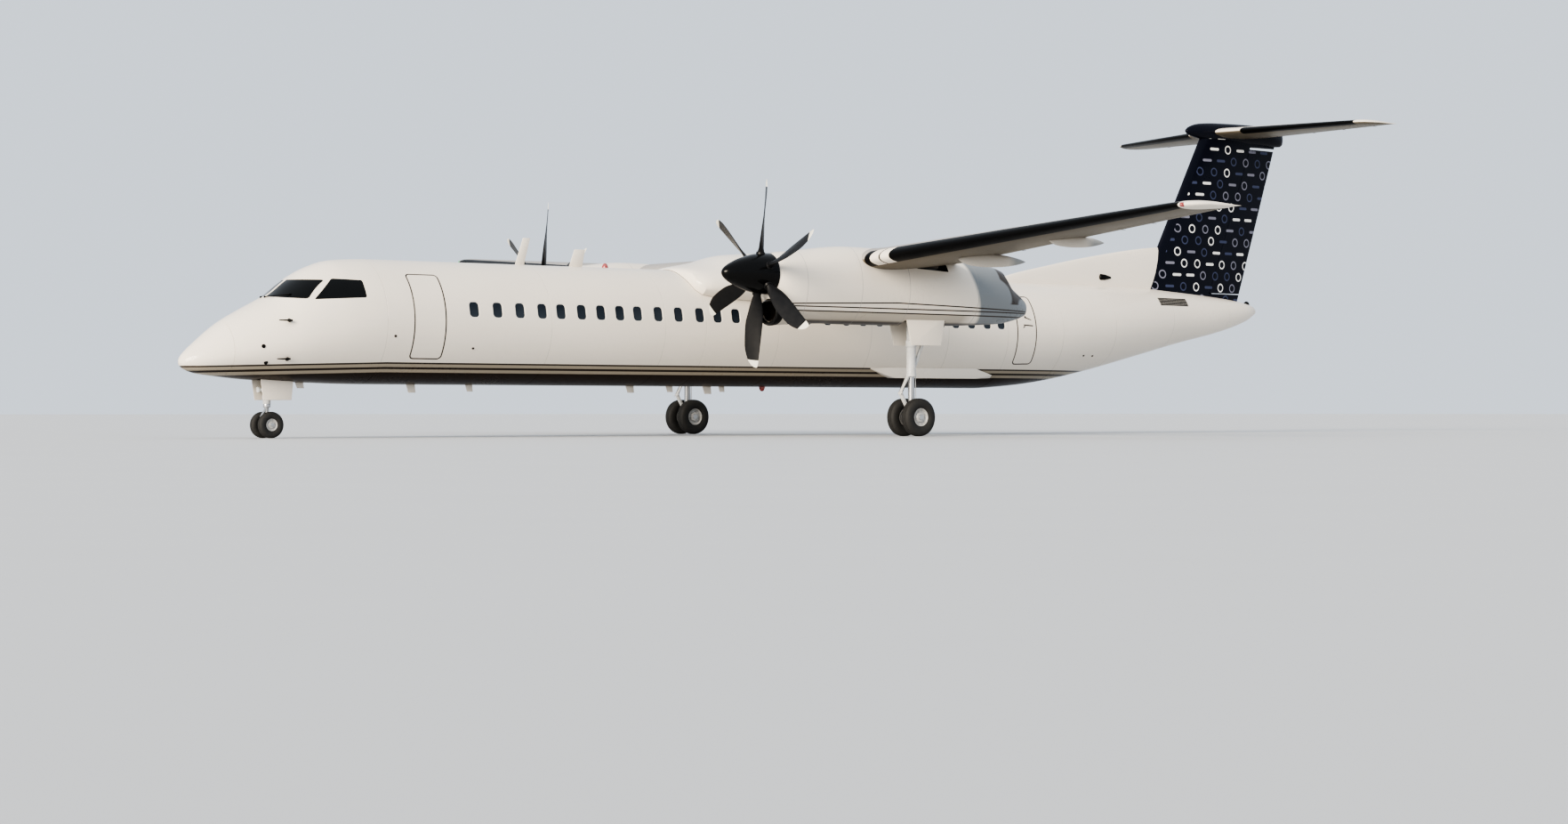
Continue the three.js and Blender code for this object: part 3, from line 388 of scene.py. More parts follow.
# Sections of the wings: out, leading edge x, level of the chord line, chord, thickness ratio.
Section = namedtuple("Section", "out x rise chord thick")
WING_CAMBER = 0.111
WING = [Section(*row) for row in [
    (4950, 14150, 1450, 2800, 0.18),
    (13500, 14850, 2150, 1500, 0.13),
    (13750, 14915, 2174, 1440, 0.127),
    (13900, 14965, 2185, 1395, 0.124),
    (14020, 15060, 2196, 1300, 0.117),
    (14120, 15190, 2203, 1190, 0.1),
    (14180, 15360, 2208, 1050, 0.07),
    (14210, 15560, 2211, 870, 0.03),
]]
TAILPLANE = [Section(*row) for row in [
    (0, 30000, 5570, 2380, 0.12),
    (4300, 30880, 5570, 1330, 0.11),
    (4430, 30960, 5570, 1250, 0.106),
    (4530, 31080, 5570, 1130, 0.095),
    (4600, 31280, 5570, 930, 0.065),
    (4635, 31480, 5570, 740, 0.03),
]]
FIN = [Section(1000, 27320, 0, 3740, 0.115), Section(5420, 29670, 0, 2900, 0.105)]

# Hinge lines: where they start and end across, and their share of the chord
Hinge = namedtuple("Hinge", "start end at")
AILERON = Hinge(11000, 13700, 0.75)
INNER_FLAP = Hinge(1500, 3740, 0.76)
OUTER_FLAP = Hinge(5120, 10900, 0.76)
ELEVATOR = Hinge(330, 4420, 0.66)
RUDDER = Hinge(1230, 5250, 0.66)
# Gaps round hinged panels and flaps, and how far behind its hinge line a panel's room reaches, in metres
CLEAR = 0.008
END_CLEAR = 0.024
TOP_CLEAR = 0.07  # above the rudder
FLAP_GAP = 0.006
REACH = 3.0

# The stage, in metres. Both ways are where something points.
FLOOR_SIZE = 1200
SKY_COLOUR = (0.82, 0.89, 0.98)
SUN_WAY = (0.88, 0.32, -0.35)
SUN_SPREAD = math.radians(30)
SUN_COLOUR = (1, 0.89, 0.74)
SUN_PLACE = (-30, -20, 20)
CAMERA_PLACE = (-42.53, -54.96)
CAMERA_WAY = (0.605, 0.796, 0)


# Smooth curves through a table's rows.

def eased(table, places):
    """Rows of a table at other places, on smooth curves through its own rows that never overshoot."""
    xs = [row[0] for row in table]
    made = [[place] for place in places]
    for values in list(zip(*table))[1:]:
        rises = [(b - a) / (q - p) for a, b, p, q in zip(values, values[1:], xs, xs[1:])]
        middle = [2 * a * b / (a + b) if a * b > 0 else 0 for a, b in zip(rises, rises[1:])]
        slopes = [rises[0], *middle, rises[-1]]
        for row in made:
            i = max(0, min(bisect_right(xs, row[0]) - 1, len(rises) - 1))
            width = xs[i + 1] - xs[i]
            t = (row[0] - xs[i]) / width
            row.append(
                values[i] * (2 * t**3 - 3 * t**2 + 1)
                + slopes[i] * width * (t**3 - 2 * t**2 + t)
                + values[i + 1] * (3 * t**2 - 2 * t**3)
                + slopes[i + 1] * width * (t**3 - t**2)
            )
    return made


def spaced(table, step):
    """Places at every row of a table, and between its rows no further apart than a step."""
    places = []
    for low, high in zip(table, table[1:]):
        count = max(1, math.ceil((high[0] - low[0]) / step))
        places += [low[0] + (high[0] - low[0]) * i / count for i in range(count)]
    return [*places, table[-1][0]]


def curved(table, step):
    """A table's rows, and rows between them on its curves no further apart than a step."""
    return eased(table, spaced(table, step))


HULL_PLACES = sorted({
    *spaced(HULL[:STRAIGHT + 1], 140),
    *spaced(HULL[STRAIGHT:STRAIGHT + 2], 1200),
    *spaced(HULL[STRAIGHT + 1:], 320),
})


# Modelling tools.

Ring = namedtuple("Ring", "centre size drop")
FACE_ON = {"X": (0, math.pi / 2, 0), "Y": (math.pi / 2, 0, 0), "Z": (0, 0, 0)}


def stop_editing():
    if bpy.context.mode != "OBJECT":
        bpy.ops.object.mode_set(mode="OBJECT")


def select_by(what):
    """Sets edit mode to select verts, edges or faces."""
    bpy.context.tool_settings.mesh_select_mode = [what == kind for kind in ("verts", "edges", "faces")]


def select(pieces):
    """Selects these objects and nothing else, in object mode. The first one is the active one."""
    stop_editing()
    bpy.ops.object.select_all(action="DESELECT")
    for piece in pieces:
        piece.select_set(True)
    bpy.context.view_layer.objects.active = pieces[0] if pieces else None


def edit(piece, what="verts"):
    """Opens a piece in edit mode with all of it selected."""
    select([piece])
    bpy.ops.object.mode_set(mode="EDIT")
    select_by(what)
    bpy.ops.mesh.select_all(action="SELECT")
    return piece


def begin(name):
    """A new empty piece at the origin, open in edit mode."""
    select([])
    bpy.ops.object.add(type="MESH", enter_editmode=True, location=(0, 0, 0))
    select_by("verts")
    bpy.context.object.name = name
    return bpy.context.object


def pick(piece, test, what="verts"):
    """Selects, of the piece in edit mode, only the vertices, edges or faces that pass a test."""
    select_by(what)
    mesh = bmesh.from_edit_mesh(piece.data)
    for kind in (mesh.faces, mesh.edges, mesh.verts):
        for part in kind:
            part.select = False
    found = [part for part in getattr(mesh, what) if test(part)]
    for part in found:
        part.select_set(True)
    mesh.select_flush_mode()
    bmesh.update_edit_mesh(piece.data)
    return len(found)


def push(way):
    """Extrudes what is selected."""
    bpy.ops.mesh.extrude_region_move(TRANSFORM_OT_translate={"value": way})


def turn_outwards(piece):
    edit(piece)
    bpy.ops.mesh.normals_make_consistent(inside=False)
    stop_editing()
    return piece


def add_modifier(piece, kind, **settings):
    """Adds a modifier, sets it and applies it."""
    select([piece])
    bpy.ops.object.modifier_add(type=kind)
    change = piece.modifiers[-1]
    for name, value in settings.items():
        setattr(change, name, value)
    bpy.ops.object.modifier_apply(modifier=change.name)
    return piece


def bevelled(piece, width, segments=2, angle=SHARP):
    return add_modifier(piece, "BEVEL", width=width, segments=segments, limit_method="ANGLE", angle_limit=angle)


def scrap(*pieces):
    for piece in pieces:
        bpy.data.objects.remove(piece)


def carve(piece, cutter, operation="DIFFERENCE", keep=False):
    """Cuts, joins or trims a piece with another one, which is then thrown away unless it is kept."""
    turn_outwards(cutter)
    add_modifier(piece, "BOOLEAN", object=cutter, operation=operation, solver="EXACT")
    if not piece.data.polygons:
        raise RuntimeError(f"nothing is left of {piece.name} after a cut")
    if not keep:
        scrap(cutter)
    return piece


def twin(piece, name):
    """A copy with its own mesh."""
    select([piece])
    bpy.ops.object.duplicate()
    bpy.context.object.name = name
    return bpy.context.object


def stamped(piece, name, place=(0, 0, 0), turn=(0, 0, 0), flip=False):
    """A copy that is moved and turned about the origin, or mirrored across the middle."""
    copy = twin(piece, name)
    copy.location = place
    copy.rotation_euler = turn
    copy.scale = (1, -1, 1) if flip else (1, 1, 1)
    bpy.ops.object.transform_apply()
    return turn_outwards(copy) if flip else copy


def merged(name, pieces):
    """Joins pieces into one object."""
    select(pieces)
    if len(pieces) > 1:
        bpy.ops.object.join()
    pieces[0].name = name
    return pieces[0]


def slice_off(piece, point, normal):
    """Cuts away what lies on the side that a plane's normal points to."""
    edit(piece)
    bpy.ops.mesh.bisect(plane_co=point, plane_no=normal, use_fill=True, clear_outer=True)
    stop_editing()
    return piece


def extrude_rings(piece, rings, sides, face_on="X", hollow=False):
    """Extrudes a circle from ring to ring. A ring's drop is its lower half's height over its upper half's."""
    last = Ring(None, Vector((1, 1, 1)), 1)
    for ring in rings:
        if last.centre is None:
            bpy.ops.mesh.primitive_circle_add(
                vertices=sides, fill_type="NOTHING" if hollow else "NGON", location=ring.centre,
                rotation=FACE_ON[face_on])
        else:
            push(ring.centre - last.centre)
        step = [now / before for now, before in zip(ring.size, last.size)]
        bpy.ops.transform.resize(value=step, center_override=ring.centre)
        if abs(ring.drop / last.drop - 1) > TINY:
            stretch_lower_half(piece, ring, ring.drop / last.drop)
        last = ring


def stretch_lower_half(piece, ring, share):
    mesh = bmesh.from_edit_mesh(piece.data)
    marked = [vertex for vertex in mesh.verts if vertex.select]
    places = {vertex.index for vertex in marked}
    for vertex in marked:
        if vertex.co.z > ring.centre.z - TINY:
            vertex.select_set(False)
    mesh.select_flush(False)
    bmesh.update_edit_mesh(piece.data)
    bpy.ops.transform.resize(value=(1, 1, share), center_override=ring.centre)
    mesh = bmesh.from_edit_mesh(piece.data)
    mesh.verts.ensure_lookup_table()
    for index in places:
        mesh.verts[index].select_set(True)
    mesh.select_flush(True)
    bmesh.update_edit_mesh(piece.data)


def oval_rings(rows, y=0, grow=0):
    """Rings along X from rows of x, top, bottom, half width and level of the widest point."""
    made = []
    for x, top, bottom, half_width, widest in rows:
        up, down = top - widest + grow, widest - bottom + grow
        centre = Vector((station(x), y * MM, level(widest)))
        made.append(Ring(centre, Vector((1, (half_width + grow) * MM, up * MM)), down / up))
    return made


def round_edges(piece, test, radius, segments=4):
    """Rounds the edges of a block that pass a test."""
    edit(piece, "edges")
    if not pick(piece, test, "edges"):
        raise RuntimeError(f"{piece.name} has no edge to round")
    bpy.ops.mesh.bevel(offset=radius, segments=segments, affect="EDGES")
    stop_editing()
    return piece


def runs_along(axis):
    """Whether an edge runs along an axis."""
    k = "XYZ".index(axis)

    def test(edge):
        way = edge.verts[1].co - edge.verts[0].co
        return abs(way[k]) > 0.9 * way.length
    return test


def close_ring():
    """Joins the two open ends of the body in edit mode, which makes a ring of it."""
    bpy.ops.mesh.select_all(action="DESELECT")
    select_by("edges")
    bpy.ops.mesh.select_non_manifold()
    bpy.ops.mesh.bridge_edge_loops()
    select_by("verts")
    bpy.ops.mesh.select_all(action="DESELECT")


def turned(profile, centre, sides=SMALL_SIDES, axis="Z", closed=False):
    """Turns a profile of place along an axis and radius round that axis, in the piece in edit mode."""
    k = "XYZ".index(axis)
    rings = []
    for step, radius in profile:
        place, size = Vector(centre), Vector((radius, radius, radius))
        place[k] += step
        size[k] = 1
        rings.append(Ring(place, size, 1))
    extrude_rings(bpy.context.object, rings, sides, axis, hollow=closed)
    if closed:
        close_ring()


def both_faces(profile):
    """A profile and its mirror image, so that a ring is alike on both faces."""
    return [*profile, *((-step, radius) for step, radius in reversed(profile))]


def oval_body(name, rows, sides, y=0):
    piece = begin(name)
    extrude_rings(piece, oval_rings(rows, y), sides)
    return turn_outwards(piece)


def box(name, low, high):
    piece = begin(name)
    size = [b - a for a, b in zip(low, high)]
    centre = [(a + b) / 2 for a, b in zip(low, high)]
    bpy.ops.mesh.primitive_cube_add(size=1, location=centre, scale=size)
    return piece


def add_rod(start, end, radius, end_radius=None, sides=SMALL_SIDES):
    way = Vector(end) - Vector(start)
    bpy.ops.mesh.primitive_cone_add(
        vertices=sides, radius1=radius, radius2=radius if end_radius is None else end_radius,
        depth=way.length, location=(Vector(start) + Vector(end)) / 2,
        rotation=way.to_track_quat("Z", "Y").to_euler())


def add_rods(rows, foot):
    """Adds rods from a table, whose places are from a leg's foot."""
    for start, end, radius, sides in rows:
        add_rod(Vector(foot) + Vector(start), Vector(foot) + Vector(end), radius, sides=sides)


def add_plate(corners, axis, low, high):
    """A flat plate: its outline is extruded along an axis from one place to another."""
    piece = bpy.context.object
    others = [k for k in range(3) if k != "XYZ".index(axis)]
    bpy.ops.mesh.primitive_circle_add(vertices=len(corners), fill_type="NGON", location=(0, 0, 0))
    mesh = bmesh.from_edit_mesh(piece.data)
    ring = [vertex for vertex in mesh.verts if vertex.select]
    ring.sort(key=lambda vertex: math.atan2(*vertex.co.yx))
    for vertex, corner in zip(ring, corners):
        place = [0, 0, 0]
        place["XYZ".index(axis)] = low
        place[others[0]], place[others[1]] = corner
        vertex.co = place
    bmesh.update_edit_mesh(piece.data)
    way = [0, 0, 0]
    way["XYZ".index(axis)] = high - low
    push(way)


def from_solid(node, name, rounding):
    """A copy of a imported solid, with its faces merged and its edges rounded."""
    copy = twin(bpy.data.objects[node], name)
    del copy["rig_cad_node"]
    bpy.ops.object.parent_clear(type="CLEAR_KEEP_TRANSFORM")
    bpy.ops.object.transform_apply()
    edit(copy)
    bpy.ops.mesh.remove_doubles(threshold=0.0001)
    bpy.ops.mesh.dissolve_limited(angle_limit=math.radians(2))
    turn_outwards(copy)
    return bevelled(copy, rounding, 3)


# Airfoils.

def foil_half(t, thick):
    return 5 * thick * (0.2969 * math.sqrt(t) - 0.126 * t - 0.3516 * t**2 + 0.2843 * t**3 - 0.1015 * t**4)


def foil_mean(t, camber):
    return 4 * camber * t * (1 - t)


def foil_body(name, sections, camber=0.0, upright=False):
    """A wing from end to end. Camber is a share of the thickness, so it shrinks with it."""
    piece = begin(name)
    first = sections[0]
    radius = first.chord / 2 * MM

    def edge(section):
        if upright:
            return Vector((station(section.x), section.rise * MM, level(section.out)))
        return Vector((station(section.x), section.out * MM, level(section.rise)))

    def scale(section):
        chord, depth = section.chord * MM, section.chord * section.thick * MM
        return Vector((chord, depth, 1) if upright else (chord, 1, depth))

    up = 1 if upright else 2
    middle = edge(first) + Vector((radius, 0, 0))
    bpy.ops.mesh.primitive_circle_add(
        vertices=FOIL_SIDES, radius=radius, fill_type="NGON", location=middle,
        rotation=FACE_ON["Z" if upright else "Y"])
    for k in range(1 - FOIL_SIDES // 4, FOIL_SIDES // 4):
        angle = 2 * math.pi * k / FOIL_SIDES
        t = (1 + math.sin(angle)) / 2
        x = middle.x + radius * math.sin(angle)
        pick(piece, lambda vertex, x=x: abs(vertex.co.x - x) < radius * 0.001)
        size, shift = [1, 1, 1], [0, 0, 0]
        size[up] = foil_half(t, first.thick) * first.chord * MM / (radius * math.cos(angle))
        shift[up] = foil_mean(t, camber * first.thick) * first.chord * MM
        bpy.ops.transform.resize(value=size, center_override=middle)
        bpy.ops.transform.translate(value=shift)
    bpy.ops.mesh.select_all(action="SELECT")
    for last, section in zip(sections, sections[1:]):
        push(edge(section) - edge(last))
        step = [now / before for now, before in zip(scale(section), scale(last))]
        bpy.ops.transform.resize(value=step, center_override=edge(section))
    return turn_outwards(piece)


def both_ways(sections):
    """A wing's sections from the left tip to the right tip."""
    mirror = [section._replace(out=-section.out) for section in reversed(sections)]
    return [*(row for row in mirror if row.out), *sections]


def section_at(sections, out):
    i = 1
    while i < len(sections) - 1 and sections[i].out < out:
        i += 1
    low, high = sections[i - 1], sections[i]
    share = (out - low.out) / (high.out - low.out)
    return Section(*(a + (b - a) * share for a, b in zip(low, high)))


def hinge_ends(sections, hinge, camber=0.0, upright=False, side=1):
    """The two ends of a hinge line, each with the surface's half thickness there."""
    ends = []
    for out in (hinge.start, hinge.end):
        cut = section_at(sections, out)
        x = station(cut.x + hinge.at * cut.chord)
        rise = cut.rise + foil_mean(hinge.at, camber * cut.thick) * cut.chord
        place = (x, rise * MM, level(out)) if upright else (x, side * out * MM, level(rise))
        ends.append((Vector(place), foil_half(hinge.at, cut.thick) * cut.chord * MM))
    return ends


def panel_block(ends, upright, trim, back=0.0, top_trim=None, bar=None):
    """The room behind a hinge line, with a round bar along it where a bar's growth is given.

    It starts a trim inside the line's first end and stops a trim, or a top trim, before the other.
    """
    (a, _), (b, _) = ends
    out = 2 if upright else 1
    way = math.copysign(1, b[out] - a[out])
    low, high = a[out] + way * trim, b[out] - way * (trim if top_trim is None else top_trim)
    slope = (b.x - a.x) / (b[out] - a[out])
    front = [a.x + slope * (place - a[out]) + back for place in (low, high)]
    corners = [(front[0], low), (front[1], high), (a.x + REACH, high), (a.x + REACH, low)]
    block = begin("panel_room")
    add_plate(corners, "Y" if upright else "Z", a[3 - out] - REACH / 2, a[3 - out] + REACH / 2)
    turn_outwards(block)
    if bar is None:
        return block
    shares = [(place - a[out]) / (b[out] - a[out]) for place in (low, high)]
    radius = [ends[0][1] + (ends[1][1] - ends[0][1]) * share + bar for share in shares]
    nose = begin("panel_nose")
    add_rod(a.lerp(b, shares[0]), a.lerp(b, shares[1]), *radius, sides=ROUND_SIDES)
    turn_outwards(nose)
    return carve(block, nose, "UNION")


def split_panel(surface, name, ends, upright=False, top_trim=END_CLEAR):
    """Splits a hinged panel from a surface: a round nose in a hollow."""
    panel = twin(surface, name)
    carve(panel, panel_block(ends, upright, END_CLEAR, 0, top_trim, 0.0), "INTERSECT")
    carve(surface, panel_block(ends, upright, 0, 0, 0, CLEAR))
    return panel


def split_flap(surface, name, ends):
    """Splits a shut flap from a surface, with a fine gap round it."""
    flap = twin(surface, name)
    carve(flap, panel_block(ends, False, FLAP_GAP, FLAP_GAP), "INTERSECT")
    carve(surface, panel_block(ends, False, 0))
    return flap


# Shader maths. Arithmetic on a Wire adds Math nodes to the material that its socket is in.

def adds(operation, reflected=False):
    """A method that adds a Math node for an operator, or for the operator's reflected form."""
    def method(self, other):
        return self.maths(operation, *((other, self) if reflected else (self, other)))
    return method


class Wire:
    """An output socket in a material."""

    __add__ = __radd__ = adds("ADD")
    __sub__ = adds("SUBTRACT")
    __rsub__ = adds("SUBTRACT", reflected=True)
    __mul__ = __rmul__ = adds("MULTIPLY")
    __truediv__ = adds("DIVIDE")
    __mod__ = adds("FLOORED_MODULO")
    __pow__ = adds("POWER")
    least = adds("MINIMUM")
    most = adds("MAXIMUM")

    def __init__(self, socket):
        self.socket = socket

    def node(self, kind, settings=None, sockets=None, output=0):
        """Adds a node: its settings are set first, then the values or links of its sockets."""
        tree = self.socket.id_data
        made = tree.nodes.new(kind)
        for name, value in (settings or {}).items():
            setattr(made, name, value)
        for name, value in (sockets or {}).items():
            if isinstance(value, Wire):
                tree.links.new(value.socket, made.inputs[name])
            else:
                made.inputs[name].default_value = value
        return Wire(made.outputs[output])

    def maths(self, operation, *values, clamp=False):
        choices = {"operation": operation, "use_clamp": clamp}
        return self.node("ShaderNodeMath", choices, dict(enumerate(values)))

    def __abs__(self):
        return self.maths("ABSOLUTE", self)

    def floor(self):
        return self.maths("FLOOR", self)

    def above(self, edge, soft=0.004):
        """1 where the value is above an edge, 0 below it, with a soft step between."""
        return self.maths("MULTIPLY_ADD", self - edge, 1 / soft, 0.5, clamp=True)

    def below(self, edge, soft=0.004):
        return self.maths("MULTIPLY_ADD", self - edge, -1 / soft, 0.5, clamp=True)

    def between(self, low, high, soft=0.004):
        return self.above(low, soft) * self.below(high, soft)

    def near(self, place, half, soft=0.003):
        """1 within half of a place."""
        return abs(self - place).below(half, soft)

    def parts(self):
        """The three numbers of a vector."""
        split = self.node("ShaderNodeSeparateXYZ", {}, {0: self})
        return [Wire(socket) for socket in split.socket.node.outputs]

    def noise(self, scale, detail=3.0, stretch=(1, 1, 1)):
        """Soft random values round 0, from a place."""
        place = self.node("ShaderNodeMapping", {}, {"Vector": self, "Scale": stretch})
        made = self.node("ShaderNodeTexNoise", {}, {"Vector": place, "Scale": scale, "Detail": detail})
        return made - 0.5

    def ramp(self, start, end, low, high):
        """A value that runs from low to high where this one runs from start to end, and stays there."""
        sockets = {0: self, 1: start, 2: end, 3: low, 4: high}
        return self.node("ShaderNodeMapRange", {}, sockets)


def rgb(colour):
    """A colour as a socket takes it. A wire stays as it is."""
    return colour if isinstance(colour, Wire) else (*colour[:3], 1.0)


def reach_of(across, up):
    """How far away a place is, from its distances across and up."""
    return (across * across + up * up) ** 0.5


class Finish:
    """A material in the making: what its shader's sockets hold, as values or wires."""

    def __init__(self, name):
        self.material = bpy.data.materials.new(name)
        self.material.use_nodes = True
        self.tree = self.material.node_tree
        self.shader = self.tree.nodes["Principled BSDF"]
        self.place = Wire(self.tree.nodes.new("ShaderNodeTexCoord").outputs["Object"])
        self.x, self.y, self.z = self.place.parts()

    def painted(self, colour, *layers):
        """A colour with others laid over it in turn, each given as a mask and a colour."""
        for mask, other in layers:
            sockets = {0: mask, 6: rgb(colour), 7: rgb(other)}
            colour = self.place.node("ShaderNodeMix", {"data_type": "RGBA"}, sockets, output=2)
        return colour

    def set(self, **sockets):
        for name, value in sockets.items():
            socket = self.shader.inputs[name.replace("_", " ")]
            if isinstance(value, Wire):
                self.tree.links.new(value.socket, socket)
            else:
                socket.default_value = rgb(value) if isinstance(value, tuple) else value
        return self.material

    def bump(self, height, distance=0.002, strength=1.0):
        return self.place.node(
            "ShaderNodeBump", {}, {"Strength": strength, "Distance": distance, "Height": height})


FINISHES = {}
MAKERS = {}


def maker(function):
    """Lists a function as the maker of the finish that has its name."""
    MAKERS[function.__name__] = function
    return function


def finish(name):
    """The material of that name, made when it is first asked for."""
    if name not in FINISHES:
        made = Finish(name)
        FINISHES[name] = grained(made, GRAINS[name]) if name in GRAINS else MAKERS[name](made)
    return FINISHES[name]


def dress(piece, look, body="airframe", stands_for=(), angle=SHARP):
    """Gives a piece its material and its body, and hides the solids that it stands for."""
    stop_editing()
    piece.data.materials.clear()
    piece.data.materials.append(finish(look))
    select([piece])
    bpy.ops.object.shade_smooth_by_angle(angle=angle)
    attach(piece, body)
    if stands_for:
        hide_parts(*stands_for)
    return piece


# Finishes.

SEAL = (0.06, 0.05, 0.045)
SEAM = (0.3, 0.29, 0.28)
RUBBER = (0.003, 0.003, 0.0035)
DUST = (0.42, 0.39, 0.35)

# Looks that a fine grain alone varies: colour and worn colour, the grain's scale and detail. The worn colour's
# share and the roughness are the grain times one number, plus another. Then other sockets, and a bump's
# distance and strength.
Grain = namedtuple("Grain", "colour worn scale detail wear rough others bump", defaults=({}, None))


def lens(colour, glow):
    """A lamp's glass, which glows a little."""
    others = {"Coat_Weight": 0.8, "Emission_Color": colour, "Emission_Strength": glow}
    return Grain(colour, (0.6, 0.6, 0.6), 30, 2, (0.3, 0.1), (0.05, 0.1), others)


GRAINS = {
    "boot_black": Grain(
        (0.004, 0.004, 0.004), (0.016, 0.015, 0.014), 16, 4, (0.3, 0.1), (0.15, 0.4),
        {"Specular_IOR_Level": 0.15}),
    "window_rim": Grain((0.78, 0.75, 0.7), (0.55, 0.53, 0.5), 20, 3, (0.4, 0.1), (0.1, 0.4)),
    "tread_grip": Grain(
        (0.05, 0.05, 0.055), (0.12, 0.12, 0.12), 60, 4, (1, 0.3), (0.2, 0.7), bump=(0.003, 0.8)),
    "rim_white": Grain(
        (0.55, 0.55, 0.54), (0.2, 0.18, 0.16), 18, 5, (1, 0.2), (0.2, 0.42), {"Metallic": 0.2}),
    "lamp": lens((0.8, 0.8, 0.76), 0.15),
    "red_lens": lens((0.3, 0.015, 0.012), 0.03),
    "green_lens": lens((0.01, 0.3, 0.12), 0.2),
    "spinner_black": Grain(
        (0.003, 0.003, 0.003), (0.014, 0.013, 0.013), 20, 4, (0.2, 0.1), (0.1, 0.22),
        {"Specular_IOR_Level": 0.2, "Coat_Weight": 0.12, "Coat_Roughness": 0.05}),
    "dark_glass": Grain(
        (0.003, 0.003, 0.003), (0.009, 0.011, 0.011), 2, 3, (0.6, 0.3), (0.03, 0.06),
        {"Specular_IOR_Level": 0.22, "Coat_Weight": 0.1, "Coat_Roughness": 0.02}),
    "bare_steel": Grain(
        (0.55, 0.56, 0.57), (0.4, 0.4, 0.4), 30, 4, (1, 0.3), (0.2, 0.35), {"Metallic": 0.8}),
    "gear_paint": Grain((0.62, 0.63, 0.63), (0.4, 0.39, 0.37), 12, 5, (1, 0.2), (0.2, 0.4)),
    "dark_metal": Grain(
        (0.05, 0.045, 0.04), (0.14, 0.11, 0.09), 8, 5, (1, 0.3), (0.2, 0.5), {"Metallic": 0.6}),
    "tyre_rubber": Grain(
        (0.018, 0.018, 0.018), (0.05, 0.048, 0.045), 25, 5, (1, 0.3), (0.2, 0.75), bump=(0.002, 0.5)),
    "pale_floor": Grain((0.56, 0.565, 0.57), (0.52, 0.525, 0.53), 0.6, 4, (0.3, 0.1), (0.1, 0.6)),
}


def scheme():
    """The colours that a user can change."""
    return bpy.context.scene.airliner_paint


def along(f):
    """Station in metres, place across without its sign, and level in metres."""
    return f.x + LENGTH / 2 * MM, abs(f.y), f.z - AXIS_HEIGHT * MM


def behind(sections, x, out):
    """How far a place lies behind the leading edge of a surface with these sections."""
    root, tip = sections[:2]
    sweep = (tip.x - root.x) / (tip.out - root.out)
    return x - (out - root.out * MM) * sweep - root.x * MM


def rounded_outline(x, arc, centre, half, corner):
    """How far a place lies outside a rounded rectangle's outline."""
    over = [(abs(value - middle) - (reach - corner)).most(0.0)
            for value, middle, reach in zip((x, arc), centre, half)]
    return reach_of(*over) - corner


def grained(f, look):
    fine = f.place.noise(look.scale, look.detail)
    bump = {"Normal": f.bump(fine, *look.bump)} if look.bump else {}
    return f.set(
        Base_Color=f.painted(look.colour, (fine * look.wear[0] + look.wear[1], look.worn)),
        Roughness=fine * look.rough[0] + look.rough[1],
        **look.others,
        **bump,
    )


def gloss_paint(f, colour, dust=1.0, rough=0.3, coat=0.3, shine=0.4):
    """Gloss paint with faint waviness, dust and patchy gloss."""
    dirt = f.place.noise(0.9, 5.0, (0.4, 1, 1))
    fine = f.place.noise(14.0, 4.0)
    height = f.place.noise(3.0, 2.0) * 0.4 + fine * 0.012
    return f.set(
        Base_Color=f.painted(colour, ((dirt * 0.22 + 0.06).most(0.0) * dust, DUST)),
        Roughness=fine * 0.1 + dirt * 0.12 + rough,
        Specular_IOR_Level=shine,
        Coat_Weight=coat,
        Coat_Roughness=0.08,
        Normal=f.bump(height, 0.0015, 0.5),
    )


def with_door_lines(f, colour, dust=1.0):
    """Paint with thin dark lines where the doors meet the skin, on both of their sides."""
    x, y, z = along(f)
    arc = z.maths("ARCTAN2", z, y) * (CABIN_RADIUS * MM)
    for door in DOORS.values():
        sill, head = [math.radians(angle) * CABIN_RADIUS * MM for angle in (door.sill, door.head)]
        centre = ((door.x0 + door.x1) / 2 * MM, (sill + head) / 2)
        half = ((door.x1 - door.x0) / 2 * MM, (head - sill) / 2)
        edge = rounded_outline(x, arc, centre, half, 0.09)
        colour = f.painted(colour, (edge.near(0.002, 0.016) * (f.y * door.side).above(0.3), SEAL))
    return gloss_paint(f, colour, dust, coat=dust * 0.3, shine=0.15)


@maker
def plain_white(f):
    return gloss_paint(f, scheme().white)


@maker
def plain_navy(f):
    return gloss_paint(f, scheme().navy, 0.03, 0.28, 0.05, 0.15)


@maker
def door_white(f):
    return with_door_lines(f, scheme().white)


@maker
def track_white(f):
    """White in the wing's shade, blue-grey at the rear."""
    x, _, _ = along(f)
    colour = f.painted(
        scheme().white, (0.35, (0.2, 0.18, 0.15)), (x.above(16.75, 0.25) * 0.75, scheme().cowl))
    return gloss_paint(f, colour, shine=0.15, coat=0.1)


@maker
def fairing_white(f):
    """White with a dark seal where a fairing meets the cabin."""
    x, y, z = along(f)
    seal = reach_of(y, z).below((CABIN_RADIUS + 9) * MM, 0.003) * x.between(9, 24)
    return gloss_paint(f, f.painted(scheme().white, (seal * 0.9, SEAL)), shine=0.2)


@maker
def cabin_white(f):
    """White with fine seams, over pale bands between stripes and a dark belly, both partly paint and partly
    painted shade on the cabin's lower side.
    """
    paint = scheme()
    x, _, z = along(f)
    datum = z + x.ramp(0.3, 4.3, 0.105, 0.0)  # the stripes dip towards the nose
    colour = f.painted(
        paint.white,
        *((x.near(place * MM, 0.006) * 0.35, SEAM) for place in SKIN_SEAMS),
        # The bands and the belly are paint made darker to stand for shade under the cabin: partly painted
        # shade.
        (datum.below(-0.90, 0.01), paint.band),
        (datum.below(-1.095, 0.01), paint.belly),
        (datum.near(-0.90, 0.017), paint.stripe),
        (datum.near(-1.005, 0.022), paint.stripe),
    )
    return with_door_lines(f, colour, datum.above(-0.91, 0.01) * 0.96 + 0.04)


